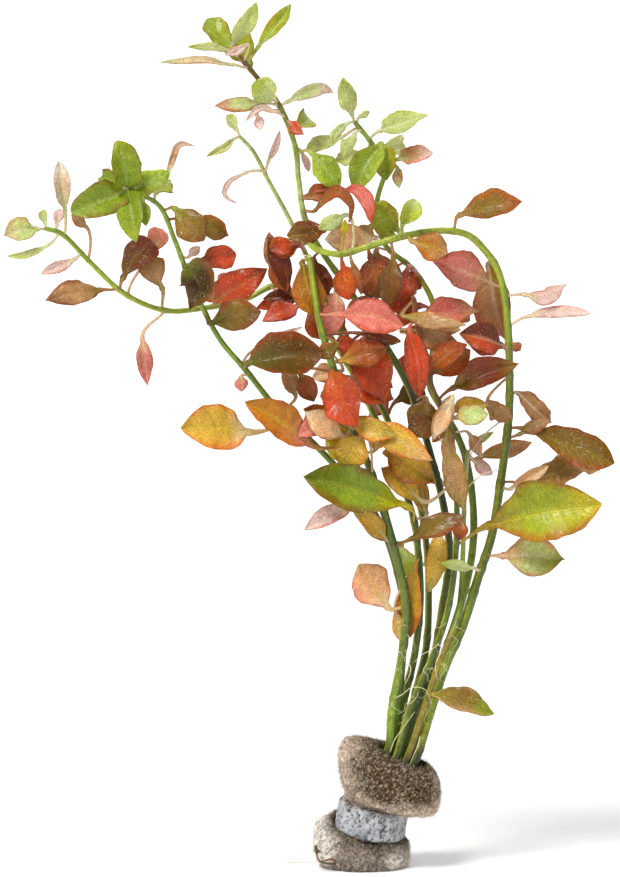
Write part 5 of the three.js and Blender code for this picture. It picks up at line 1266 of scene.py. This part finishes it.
    def grow(self, skin: Skin) -> None:
        """Adds the leaf to a skin.

        Args:
            skin: what it is added to.
        """
        rings = []
        parts = max(int(self.stalk.length / 0.8), 3)
        for i in range(parts):
            half = self.stalk_half * (1.1 - 0.2 * i / parts) + self.leaf.width * 0.07 * (i / parts) ** 3
            rings.append(self._ring(skin, self.stalk, i / parts, (half, half), False))
        steps = max(int(self.line.length / self.step), 8)
        for i in range(steps):
            share = i / steps
            if i == steps - 1:
                share = (i + 0.4) / steps
            low = self.stalk_half * (1 - 0.75 * smooth(0.5, 1, share)) + self.leaf.width * 0.07 * (1 - share) ** 4
            halves = (max(low, self._half(share, -1)), max(low, self._half(share, 1)))
            if share > 0.9:
                halves = (max(self.thinnest, self._half(share, -1)), max(self.thinnest, self._half(share, 1)))
            rings.append(self._ring(skin, self.line, share, halves, True))
        for first, second in zip(rings, rings[1:]):
            skin.bridge(first, second, closed=True)
        skin.faces.append(tuple(reversed(rings[0])))
        tip = skin.add(self.line.at(1), (self.line.length / self.surface, 0), self.tints[2])
        last = rings[-1]
        for i, corner in enumerate(last):
            skin.faces.append((corner, last[(i + 1) % len(last)], tip))


@dataclass
class Branch:
    """One stem with its nodes, and the joints of the leaves that it carries."""

    stem: Stem
    swelling: float = 0.14
    sides: int = 14
    step: float = 0.6
    lowest_node: float = 0.08
    node_gap: float = 14.0
    node_clearance: float = 6.0
    joints: list[float] = field(default_factory=list)

    def __post_init__(self) -> None:
        """Lays the stem's line."""
        self.line = Path([*Plug.bundle(self.stem), *[seen(p) for p in self.stem.route]])
        self.tints = tints(self.stem.coat)

    def radius(self, share: float) -> float:
        """Gives the radius at a share of the length, without swellings."""
        foot, tip = self.stem.radius
        return foot + (tip - foot) * share

    def joint(self, at: tuple[float, float]) -> Joint:
        """Finds the joint that the front view shows at a point, and keeps it as a node of the stem.

        Args:
            at: the point's x and its seen height.

        Returns:
            The joint.
        """
        share = self.line.nearest_seen(*at)
        self.joints.append(share)
        return Joint(self.line.at(share), self.line.way(share))

    def _near(self, share: float) -> float:
        """Gives the distance to the nearest node."""
        return min((abs(j - share) for j in self.joints), default=1.0) * self.line.length

    def _swollen(self, share: float) -> float:
        """Gives the radius with its nodes, wobble and rounded ends.

        Args:
            share: how far up the stem.

        Returns:
            The radius.
        """
        radius = self.radius(share) * (1 + self.swelling * math.exp(-((self._near(share) / 0.9) ** 2)))
        radius *= 1 + 0.05 * noise.noise(Vector((share * self.line.length / 4, self.stem.turn, 0)))
        end = min(share, 1 - share) * self.line.length
        return radius * min(1.0, 0.35 + 0.65 * math.sqrt(min(end, 1.2) / 1.2))

    def _tint(self, share: float, around: float, place: Vector) -> Tint:
        """Gives the stem's tint, from its pigments by height, with a painted highlight on its -x side and painted shade
        on its +x side.

        Args:
            share: how far up the stem.
            around: how far round it, as a share of a turn.
            place: the place, for the height and the mottling.

        Returns:
            The tint.
        """
        height = seen_height(place)
        heights, tint = self.stem.heights, self.tints[0]
        for low, high, later in zip(heights, heights[1:], self.tints[1:]):
            tint = mix(tint, later, smooth(low, high, height + 4 * grain(place, 7, self.stem.turn)))
        near = self._near(share)
        ring = 0.3 + 0.25 * noise.noise(Vector((round(share * 40), self.stem.turn, 1)))
        tint = mix(tint, Pigment.SOIL.tint(), ring * math.exp(-((near / 0.35) ** 2)))
        scar = smooth(0.35, 0.6, grain(place, 1.8, self.stem.turn + 5))
        tint = mix(tint, Pigment.UMBER.tint(), 0.35 * scar)
        # Painted light: the side facing -x is painted yellower as a painted highlight, and the side facing +x is
        # painted darker as painted shade.
        out = (place - self.line.at(share)).normalized()
        streak = math.sin(2 * math.pi * 3 * around + self.stem.turn)
        tint = mix(tint, Pigment.YELLOW.tint(), 0.5 * smooth(0.1, 0.95, 0.25 * streak - out.x))
        tint = mix(tint, shade(tint, 0.3), 0.6 * smooth(0.1, 0.8, out.x + 0.35 * streak))
        return shade(tint, 1 + 0.26 * streak + 0.26 * grain(place, 1.1, 2) + 0.3 * grain(place, 6, 8))

    def build(self, material: Material) -> Piece:
        """Builds the stem's own piece, with bare nodes between those of its leaves.

        Args:
            material: the stem's material.

        Returns:
            The piece.
        """
        leafy = list(self.joints)
        share = self.lowest_node
        while share < 1:
            if all(abs(share - j) * self.line.length > self.node_clearance for j in leafy):
                self.joints.append(share)
            share += self.node_gap / self.line.length
        skin = Skin()
        skin.tube(self.line, self._swollen, self._tint, self.sides, self.step)
        return skin.build(self.stem.name + "_stalk", material)


@dataclass
class Ring:
    """The ring of fired clay that weighs the plug down."""

    outer: float = 8.9
    inner: float = 7.2
    height: float = 8.2
    round: float = 1.1
    bore_round: float = 0.4
    facet: float = 0.45
    shoulder: float = 8.0
    place: tuple[float, float, float] = (1.7, -0.3, 12.3)
    lean: tuple[float, float] = (0.16, -0.15)
    sides: int = 150

    def way(self) -> Vector:
        """Gives the direction of the ring's axis."""
        return Vector((*self.lean, 1)).normalized()

    def reach(self, point: Vector) -> tuple[float, float]:
        """Measures a point from the ring.

        Args:
            point: the point.

        Returns:
            How far it is from the ring's axis, and how far above its middle.
        """
        offset = point - Vector(self.place)
        level = offset.dot(self.way())
        return (offset - self.way() * level).length, level

    def _outline(self) -> list[tuple[float, float]]:
        """Gives the section, with rounded corners.

        Returns:
            Its points, as reach and height.
        """
        half = self.height / 2
        corners = [(self.outer, -half, self.round), (self.outer, half, self.round),
                   (self.inner, half, self.bore_round), (self.inner, -half, self.bore_round)]
        outline = []
        for index, (across, up, bend) in enumerate(corners):
            centre_x = across - math.copysign(bend, across - (self.outer + self.inner) / 2)
            centre_y = up - math.copysign(bend, up)
            start = -90 + 90 * index
            for k in range(6):
                angle = math.radians(start + 18 * k)
                outline.append((centre_x + bend * math.cos(angle), centre_y + bend * math.sin(angle)))
        dense = []
        for first, second in zip(outline, [*outline[1:], outline[0]]):
            parts = max(int(math.dist(first, second) / self.facet), 1)
            for i in range(parts):
                t = i / parts
                dense.append((first[0] + (second[0] - first[0]) * t, first[1] + (second[1] - first[1]) * t))
        return dense

    def build(self, clay: Material) -> Piece:
        """Builds the ring.

        Args:
            clay: its material.

        Returns:
            The piece.
        """
        turn = Vector((0, 0, 1)).rotation_difference(self.way())
        centre = Vector(self.place)
        outline = self._outline()
        skin = Skin()
        rows = []
        for k in range(self.sides):
            about = 2 * math.pi * k / self.sides
            row = []
            for across, up in outline:
                flat = Vector((across * math.cos(about), across * math.sin(about), up))
                pit = max(smooth(0.3, 0.44, grain(flat, 1.1, 40)), smooth(0.32, 0.5, grain(flat, 0.55, 47)))
                rough = 0.1 * grain(flat, 0.7, 41) + 0.16 * grain(flat, 3.0, 42) - 0.35 * pit
                outward = Vector((0, 0, math.copysign(1, up)))
                if across > self.shoulder:
                    outward = Vector((math.cos(about), math.sin(about), 0))
                place = centre + turn @ (flat + outward * rough)
                row.append(skin.add(place, (k / self.sides, up), self._tint(place, flat, up, pit)))
            rows.append(row)
        for row, following in zip(rows, [*rows[1:], rows[0]]):
            skin.bridge(row, following, closed=True)
        return skin.build("clay_ring", clay)

    def _tint(self, place: Vector, flat: Vector, up: float, pit: float) -> Tint:
        """Gives the clay's tint: soiled at the top, pale low down.

        Args:
            place: the place, for the finest mottling.
            flat: the same place before the ring leans.
            up: how far it is above the ring's middle.
            pit: how deep in a pit it is, from 0 to 1.

        Returns:
            The tint.
        """
        tint = mix(Pigment.WHITE.tint(), Pigment.GREY.tint(), 0.5 + 0.5 * grain(flat, 2.6, 44))
        tint = mix(tint, Pigment.SOIL.tint(), 0.35 * smooth(2.4, 4.2, up + 1.2 * grain(flat, 2.2, 45)))
        tint = mix(tint, Pigment.PITCH.tint(), 0.85 * pit)
        return shade(tint, 1.05 + 0.2 * grain(place, 0.8, 46))


@dataclass(frozen=True)
class Bulge:
    """A rounded, boxy lump of wool with upright sides, whose middle slopes and whose height grows one way."""

    radius: float
    half: float
    square: float
    place: tuple[float, float, float]
    slope: tuple[float, float]
    swell: tuple[float, float] = (0.0, 0.0)
    bands: int = 28
    sides: int = 48

    def form(self) -> tuple[list[Vector], list[tuple[int, ...]]]:
        """Makes the lump.

        Returns:
            Its points and its faces.
        """
        centre = Vector(self.place)
        points = [centre - Vector((0, 0, self.half))]
        for i in range(1, self.bands):
            angle = math.pi * (i / self.bands - 0.5)
            across = math.cos(angle) ** (2 / self.square) * self.radius
            up = math.copysign(abs(math.sin(angle)) ** (2 / self.square), math.sin(angle)) * self.half
            for k in range(self.sides):
                about = 2 * math.pi * k / self.sides
                x, y = across * math.cos(about), across * math.sin(about)
                grown = up * (1 + x * self.swell[0] + y * self.swell[1])
                points.append(centre + Vector((x, y, grown + x * self.slope[0] + y * self.slope[1])))
        points.append(centre + Vector((0, 0, self.half)))
        faces: list[tuple[int, ...]] = []
        for k in range(self.sides):
            j = (k + 1) % self.sides
            faces.append((0, 1 + j, 1 + k))
            for i in range(self.bands - 2):
                a = 1 + i * self.sides
                faces.append((a + k, a + j, a + self.sides + j, a + self.sides + k))
            a = 1 + (self.bands - 2) * self.sides
            faces.append((a + k, a + j, len(points) - 1))
        return points, faces


@dataclass
class Plug:
    """The plug of mineral wool: two bulges and a waist on a leaning axis, and its halo of fibres."""

    low: Vector = field(default_factory=lambda: Vector((-0.5, 0.5, 7)))
    high: Vector = field(default_factory=lambda: Vector((9.6, -3, 29)))
    ring: Ring = field(default_factory=Ring)
    waist: Bulge = Bulge(6.7, 8.7, 5, (1.7, -0.3, 12.3), (-0.16, 0.15))
    channel_radius: float = 5.9
    channel_depth: float = 9.0
    voxel: float = 0.4
    fibres: int = 27000
    channel_from: float = 18.0
    ring_clearance: float = 4.5
    ring_bore: float = 6.9
    ring_rim: float = 9.9
    ring_shadow: tuple[float, float] = (9.2, 4.8)
    upper_from: float = 2.2
    seed: int = 5

    BUNDLE_RADIUS = 3.8
    BUNDLE_LEVELS = (-3.3, 11.0, 24.0)
    UPPER = Bulge(12.6, 7.4, 3.6, (6.2, -1.8, 22.6), (-0.305, 0.06), (-0.009, 0.0))
    LOWER = Bulge(12.0, 8.0, 2.3, (-0.8, 0.4, 5.0), (-0.1, 0.15), (-0.004, 0.019))
    PALE_FLECKS = (Pigment.BONE, Pigment.CREAM, Pigment.SAND, Pigment.FELT)
    DARK_FLECKS = (Pigment.CREAM, Pigment.FELT, Pigment.ASH, Pigment.SOIL, Pigment.UMBER, Pigment.PITCH)

    def way(self) -> Vector:
        """Gives the direction of the leaning axis."""
        return (self.high - self.low).normalized()

    def reach(self, place: Vector) -> tuple[float, float]:
        """Measures a place from the leaning axis.

        Args:
            place: the place.

        Returns:
            How far it is from the axis, and how far above the axis's start.
        """
        offset = place - self.low
        level = offset.dot(self.way())
        return (offset - self.way() * level).length, level

    @classmethod
    def bundle(cls, stem: Stem) -> list[Vector]:
        """Lays a stem inside the plug.

        Args:
            stem: the stem.

        Returns:
            Its places, from the cut end up.
        """
        plug = cls()
        way = plug.way()
        turn = math.radians(stem.turn)
        out = Vector((math.cos(turn), math.sin(turn), 0))
        out = (out - way * out.dot(way)).normalized() * (0 if stem.inner else cls.BUNDLE_RADIUS)
        return [plug.low + way * level + out for level in cls.BUNDLE_LEVELS]

    def _body(self) -> tuple[list[Vector], list[tuple[int, ...]]]:
        """Joins the bulges and the waist to one fine skin.

        Returns:
            Its points and its faces.
        """
        parts = [part.form() for part in (self.UPPER, self.LOWER, self.waist)]
        points: list[Vector] = []
        faces: list[tuple[int, ...]] = []
        for part_points, part_faces in parts:
            start = len(points)
            points += part_points
            faces += [tuple(i + start for i in face) for face in part_faces]
        mesh = bpy.data.meshes.new("plug_draft")
        mesh.from_pydata(points, [], faces)
        draft = bpy.data.objects.new("plug_draft", mesh)
        bpy.context.collection.objects.link(draft)
        remesh = draft.modifiers.new("skin", "REMESH")
        remesh.mode = "VOXEL"
        remesh.voxel_size = self.voxel
        relax = draft.modifiers.new("relax", "SMOOTH")
        relax.iterations = 6
        relaxed = draft.evaluated_get(bpy.context.evaluated_depsgraph_get()).to_mesh()
        fine = [v.co.copy() for v in relaxed.vertices]
        quads = [tuple(p.vertices) for p in relaxed.polygons]
        normals = [v.normal.copy() for v in relaxed.vertices]
        bpy.data.objects.remove(draft)
        bpy.data.meshes.remove(mesh)
        return [self._ruffled(p, n) for p, n in zip(fine, normals)], quads

    def _ruffled(self, point: Vector, normal: Vector) -> Vector:
        """Gives a point of the skin its lumps, sinks it where the stems stand and keeps it off the ring.

        Args:
            point: the point.
            normal: the skin's direction there.

        Returns:
            The moved point.
        """
        lump = 0.7 * grain(point, 4.6, 1) + 0.4 * grain(point, 1.7, 2) + 0.25 * grain(point, 0.8, 3)
        moved = point + normal * lump
        aside, level = self.reach(moved)
        if level > self.channel_from:
            moved -= self.way() * self.channel_depth * smooth(self.channel_radius + 0.9, self.channel_radius - 1, aside)
        away, height = self.ring.reach(moved)
        if away > self.ring_bore and abs(height) < self.ring_clearance:
            face = self.ring_clearance if height > self.upper_from else -self.ring_clearance
            moved += self.ring.way() * (face - height) * smooth(self.ring_rim, 9.0, away)
        moved.z = max(moved.z, 0.0)
        return moved

    def tint(self, place: Vector) -> Tint:
        """Gives the wool's tint at a place, with a painted shadow under the ring and painted shade in the stems' sunken
        channel.

        Args:
            place: the place.

        Returns:
            The tint.
        """
        aside, level = self.reach(place)
        away, height = self.ring.reach(place)
        large, small, fine = grain(place, 5.5, 11), grain(place, 1.1, 12), grain(place, 0.45, 13)
        middle = smooth(-7.5, 1.5, place.x + 3 * large) * smooth(20.5, 16.0, place.x + 2 * large)
        middle *= smooth(6.0, 9.6, height + 1.5 * large)
        upper = mix(Pigment.FLEECE.tint(), Pigment.SOIL.tint(), middle)
        upper = mix(upper, Pigment.UMBER.tint(), (0.4 + 0.5 * middle) * smooth(0.0, 0.45, small))
        upper = mix(upper, Pigment.CREAM.tint(), 0.45 * smooth(0.15, 0.5, fine))
        upper = mix(upper, Pigment.DEEP.tint(), 0.8 * smooth(9.0, 6, aside) * smooth(20, 23, level))
        side = smooth(5.0, 10.0, abs(place.x + 0.8) + 2 * large)
        lower = mix(Pigment.ASH.tint(), Pigment.BONE.tint(), side)
        lower = mix(lower, Pigment.SOIL.tint(), 0.5 * smooth(0.0, 0.5, small) * (1 - 0.5 * side))
        # Painted shadow: the wool just under the ring's bottom edge is painted dark umber.
        painted_shadow_under_ring = smooth(12.6, 9.4, away) * smooth(-11, -6, height + 1.2 * large)
        lower = mix(lower, Pigment.UMBER.tint(), 0.85 * painted_shadow_under_ring)
        tint = mix(lower, upper, smooth(1.6, 2.8, height))
        # Painted shade: the wool in the sunken channel where the stems stand is painted near-black green.
        channel_painted_shade = smooth(self.channel_radius + 1.2, self.channel_radius - 1.2, aside) * smooth(17, 20, level)
        tint = mix(tint, shade(Pigment.DEEP.tint(), 0.35), channel_painted_shade)
        return shade(tint, 1.2 + 0.3 * small + 0.4 * fine)

    def _fibre(self, skin: Skin, start: Vector, normal: Vector, chance: random.Random) -> None:
        """Adds one thin ribbon that lies on the wool and lifts off at its ends.

        Args:
            skin: what it is added to.
            start: the wool's place at its middle.
            normal: the wool's direction there.
            chance: gives its shape and its tint.
        """
        way = Vector([chance.gauss(0, 1) for _ in range(3)])
        way = (way - normal * way.dot(normal)).normalized()
        side = way.cross(normal)
        stray = chance.random() < 0.16
        length = chance.uniform(1.0, 2.0) if stray else chance.uniform(0.3, 0.9)
        bend = chance.uniform(-0.8, 0.8)
        lift = chance.uniform(0.4, 0.9) if stray else chance.uniform(0.0, 0.25)
        half = chance.uniform(0.016, 0.026) if stray else chance.uniform(0.016, 0.034)
        tint = self.tint(start)
        pale = stray or tint[0] > 0.3
        fleck = chance.choice(self.PALE_FLECKS if pale else self.DARK_FLECKS)
        tint = mix(tint, fleck.tint(), chance.uniform(0.2, 0.7))
        rows = []
        for i in range(4):
            t = i / 3 - 0.5
            rise = 0.12 + lift * (2 * t) ** 2
            centre = start + way * (t * length) + side * (bend * length * t * t) + normal * rise
            centre.z = max(centre.z, 0.02)
            offset = (side + normal * 0.4) * half
            rows.append([skin.add(centre + offset, (t, 0), tint), skin.add(centre - offset, (t, 1), tint)])
        for first, second in zip(rows, rows[1:]):
            skin.bridge(first, second, closed=False)

    def build(self, wool: Material) -> list[Piece]:
        """Builds the body and the fibres.

        Args:
            wool: the wool's material.

        Returns:
            The two pieces.
        """
        points, faces = self._body()
        body = Skin(points, faces, [(0.0, 0.0)] * len(points), [self.tint(p) for p in points])
        piece = body.build("plug_body", wool)
        chance = random.Random(self.seed)
        halo = Skin()
        polygons = piece.data.polygons
        for _ in range(self.fibres):
            polygon = polygons[chance.randrange(len(polygons))]
            centre, normal = polygon.center / MM, polygon.normal.copy()
            if centre.z < 0.2 or self._hidden(centre):
                continue
            self._fibre(halo, centre, normal, chance)
        return [piece, halo.build("plug_fibres", wool)]

    def _hidden(self, place: Vector) -> bool:
        """Says whether the ring or the stems cover a place.

        Args:
            place: the place.

        Returns:
            Whether it is covered.
        """
        aside, level = self.reach(place)
        away, height = self.ring.reach(place)
        widest, tallest = self.ring_shadow
        return (abs(height) < tallest and away < widest) or (level > 15 and aside < self.channel_radius)


@dataclass
class Roots:
    """Fine white roots from the stems' lower nodes, thin withered stalks, and the sprout beside the plug."""

    hairs: int = 46
    sides: int = 6
    step: float = 0.5
    hairy_from: float = 38.0
    hairy_to: float = 64.0
    root_radius: float = 0.15
    stalk_radius: float = 0.26
    seed: int = 9

    HAIRY = (FRONT_LEFT, MIDDLE, MIDDLE, PALE, ARCHING, UPRIGHT)
    ROOTS: tuple[Route, ...] = (
        ((10.2, -6, 51), (11.4, -8.4, 50.2), (11, -8.8, 48), (10, -8.6, 46)),
        ((18.4, -4, 56), (16.6, -7, 54.6), (14, -8.4, 53.2), (12.4, -8.2, 51.6)),
        ((7.6, -4.9, 42.4), (9.6, -7, 43.6), (11.8, -8, 45.2), (15, -7.6, 44.6), (16.8, -7, 40.8)),
        ((6.2, -7, 28.8), (7.4, -7.8, 32), (9.2, -8, 34.6), (12.4, -7, 39)),
        ((13.8, -5.6, 32.8), (13.2, -8, 30.6), (12, -9, 27.8), (11, -9.4, 25.4)),
        ((20, -3, 54.6), (18.2, -6.4, 52.6), (17.6, -7, 50.6), (18, -7, 47)),
        ((-13.2, -6, 152.6), (-15, -6.4, 153), (-17.5, -6, 153.8)),
    )
    WITHERED: tuple[Route, ...] = (
        ((36.1, 6.9, 113), (33.4, 5, 111.2), (30.6, 3.4, 109), (27.6, 2.6, 105.4), (26, 2.2, 102), (25.4, 2, 98.6)),
        ((22.6, -3.6, 100.4), (20.4, -5, 104), (18.6, -5.6, 107.6), (17.4, -6, 110.6), (19.4, -6.4, 111.6)),
        ((22.8, -3.4, 92), (26, -4.4, 95.6), (29.4, -4, 98.4), (33.6, -2, 99.6)),
    )
    SPROUT: tuple[Route, ...] = (
        ((-19.2, -2, 1.1), (-15.6, -4.6, 1.2), (-12.5, -6, 1.3), (-9, -6.6, 1)),
        ((-7.4, -9.4, 1), (-9.4, -9.8, 1.1), (-11.2, -9.6, 1.6), (-12, -9.2, 2.8), (-11.8, -9, 4)),
        ((-7.4, -9.6, 1.8), (-8.6, -9.9, 2.2), (-10, -9.8, 1.8), (-11.2, -9.6, 1.5)),
        ((-11.7, -9, 3.7), (-12.1, -9, 4.4), (-12.3, -9, 5.1), (-12.1, -9, 5.6)),
    )

    def _thread(self, skin: Skin, points: list[Vector], thick: float, tint: Tint) -> None:
        """Adds one thread that thins towards its end and stays off the ground.

        Args:
            skin: what it is added to.
            points: the places that it runs through.
            thick: its radius at its start.
            tint: its tint.
        """
        line = Path(points)
        lowest = thick + 0.05
        for place in line.places:
            place.z = max(place.z, lowest)
        skin.tube(line, lambda share: thick * (1 - 0.55 * share),
                  lambda share, around, place: shade(tint, 1 + 0.2 * grain(place, 1.0, 3)), self.sides, self.step)

    def _hair(self, branch: Branch, chance: random.Random) -> list[Vector]:
        """Lays a fine hair that grows from the front of a stem.

        Args:
            branch: the stem.
            chance: gives its place and its course.

        Returns:
            The places that it runs through.
        """
        share = chance.uniform(self.hairy_from, self.hairy_to) / branch.line.length
        out = Vector((chance.uniform(-1, 1), -1, chance.uniform(-0.5, 0.3))).normalized()
        place = branch.line.at(share) + out * branch.radius(share) * 0.9
        points = [place.copy()]
        for _ in range(4):
            place += out * 0.2 + Vector((chance.uniform(-1.9, 1.9), chance.uniform(-0.5, 0.4), chance.uniform(-2, 0.6)))
            points.append(place.copy())
        return points

    def build(self, branches: dict[str, Branch], material: Material) -> list[Piece]:
        """Builds the roots, the withered stalks and the sprout.

        Args:
            branches: the stems that carry the roots, by name.
            material: the threads' material.

        Returns:
            The pieces.
        """
        skin = Skin()
        fresh = mix(Pigment.CREAM.tint(), Pigment.LIME.tint(), 0.35)
        dry = mix(Pigment.SAND.tint(), Pigment.BLUSH.tint(), 0.5)
        for route in self.ROOTS:
            self._thread(skin, [seen(p) for p in route], self.root_radius, fresh)
        for route in self.WITHERED:
            self._thread(skin, [seen(p) for p in route], self.stalk_radius, dry)
        chance = random.Random(self.seed)
        for _ in range(self.hairs):
            points = self._hair(branches[chance.choice(self.HAIRY)], chance)
            tint = mix(Pigment.CREAM.tint(), Pigment.LIME.tint(), chance.uniform(0, 0.6))
            self._thread(skin, points, chance.uniform(0.06, 0.1), tint)
        sprout = Skin()
        looks = ((0.13, Pigment.SAND), (0.34, Pigment.SOIL), (0.3, Pigment.BROWN), (0.66, Pigment.SOIL))
        for route, (thick, pigment) in zip(self.SPROUT, looks):
            self._thread(sprout, [seen(p) for p in route], thick, pigment.tint())
        return [skin.build("roots", material), sprout.build("sprout", material)]


@dataclass
class Studio:
    """The camera, the floor and the lights."""

    distance: float = 3.0
    sensor: float = 24.0
    frame_height: float = 0.21925
    target: tuple[float, float] = (-0.01375, 0.107375)
    floor_half: float = 20.0
    sky: tuple[float, float, float, float] = (0.98, 0.99, 1.0, 1)
    sky_strength: float = 0.5

    def camera(self) -> None:
        """Sets the camera at the photograph's viewing angle."""
        lens = bpy.data.cameras.new("camera")
        lens.sensor_fit = "VERTICAL"
        lens.sensor_height = self.sensor
        lens.lens = self.sensor * self.distance / self.frame_height
        camera = bpy.data.objects.new("camera", lens)
        bpy.context.collection.objects.link(camera)
        x, height = self.target
        aim = Vector((x, 0, height / math.cos(SIGHT_ANGLE)))
        camera.location = aim + Vector((0, -math.cos(SIGHT_ANGLE), math.sin(SIGHT_ANGLE))) * self.distance
        camera.rotation_euler = (math.pi / 2 - SIGHT_ANGLE, 0, 0)
        bpy.context.scene.camera = camera

    def floor(self, material: Material) -> None:
        """Lays the floor.

        Args:
            material: the floor's material.
        """
        mesh = bpy.data.meshes.new("floor")
        half = self.floor_half
        mesh.from_pydata([(-half, -half, 0), (half, -half, 0), (half, half, 0), (-half, half, 0)], [], [(0, 1, 2, 3)])
        mesh.materials.append(material)
        floor = bpy.data.objects.new("floor", mesh)
        bpy.context.collection.objects.link(floor)

    @staticmethod
    def sun(name: str, tilt: float, azimuth: float, strength: float, spread: float) -> None:
        """Adds a broad, even light.

        Args:
            name: the light's name.
            tilt: degrees from straight down.
            azimuth: degrees round the object, 0 from the camera's side and rising to the right.
            strength: its strength.
            spread: its angular size in degrees.
        """
        light = bpy.data.lights.new(name, "SUN")
        light.energy = strength
        light.angle = math.radians(spread)
        lamp = bpy.data.objects.new(name, light)
        lamp.rotation_euler = (math.radians(tilt), 0, math.radians(azimuth))
        bpy.context.collection.objects.link(lamp)

    def light(self) -> None:
        """Sets the lights and the pale surroundings."""
        world = bpy.data.worlds.new("surroundings")
        world.use_nodes = True
        backdrop = world.node_tree.nodes["Background"]
        backdrop.inputs["Color"].default_value = self.sky
        backdrop.inputs["Strength"].default_value = self.sky_strength
        bpy.context.scene.world = world
        self.sun("key", tilt=40, azimuth=-34, strength=2.9, spread=25)
        self.sun("fill", tilt=60, azimuth=50, strength=0.3, spread=60)
        self.sun("back", tilt=50, azimuth=160, strength=0.9, spread=60)
        bpy.context.scene.view_settings.view_transform = "Standard"


@dataclass
class Plant:
    """The whole bunch: stems, leaves, plug, ring and roots."""

    first_sprig_seed: int = 100
    sprig_columns: int = 11
    sprig_step: float = 0.6
    sprig_stalk_half: float = 0.34

    def _place(self, piece: Piece, slot: str, *nodes: str) -> None:
        """Lets a piece ride on the body, and hides the solids that it stands for.

        Args:
            piece: the piece.
            slot: its material slot, which is not used.
            nodes: the solids that it stands for.
        """
        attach(piece, "root")
        if nodes:
            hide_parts(*nodes)
        LOG.info("built %s with %d faces", piece.name, len(piece.data.polygons))

    def build(self) -> None:
        """Builds every piece."""
        slots = sorted({tone.slot() for tone in Tone})
        leaf_looks = {slot: LeafFinish(slot).material() for slot in slots}
        branches = {stem.name: Branch(stem) for stem in STEMS}
        for index, leaf in enumerate(LEAVES):
            skin = Skin()
            Blade(leaf, branches[leaf.stem].joint(leaf.joint), index).grow(skin)
            slot = leaf.tone.slot()
            piece = skin.build(leaf.name + "_blade", leaf_looks[slot])
            self._place(piece, slot, leaf.name)
        self._sprigs(branches, leaf_looks)
        stem_look = StemFinish().material()
        for branch in branches.values():
            self._place(branch.build(stem_look), "stem", branch.stem.name)
        plug = Plug()
        for piece in plug.build(WoolFinish().material()):
            self._place(piece, "mineral_wool", "foam_plug")
        self._place(plug.ring.build(ClayFinish().material()), "fired_clay", "weight_ring")
        for piece in Roots().build(branches, ThreadFinish().material()):
            self._place(piece, "stem")

    def _sprigs(self, branches: dict[str, Branch], looks: dict[str, Material]) -> None:
        """Builds the small leaves, as one piece for each stem and finish.

        Args:
            branches: the stems, by name.
            looks: the leaves' materials, by slot.
        """
        groups: dict[tuple[str, str], Skin] = {}
        for index, leaf in enumerate(SPRIGS):
            skin = groups.setdefault((leaf.stem, leaf.tone.slot()), Skin())
            joint = branches[leaf.stem].joint(leaf.joint)
            Blade(leaf, joint, self.first_sprig_seed + index, columns=self.sprig_columns, step=self.sprig_step,
                  stalk_half=self.sprig_stalk_half).grow(skin)
        for (stem, slot), skin in groups.items():
            piece = skin.build(f"{stem}_{slot}", looks[slot])
            self._place(piece, slot, stem)


def main() -> None:
    """Builds the scene."""
    logging.basicConfig(level=logging.INFO, format="%(name)s: %(message)s")
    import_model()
    studio = Studio()
    studio.camera()
    studio.floor(FloorFinish().material())
    studio.light()
    Plant().build()


if __name__ == "__main__":
    main()
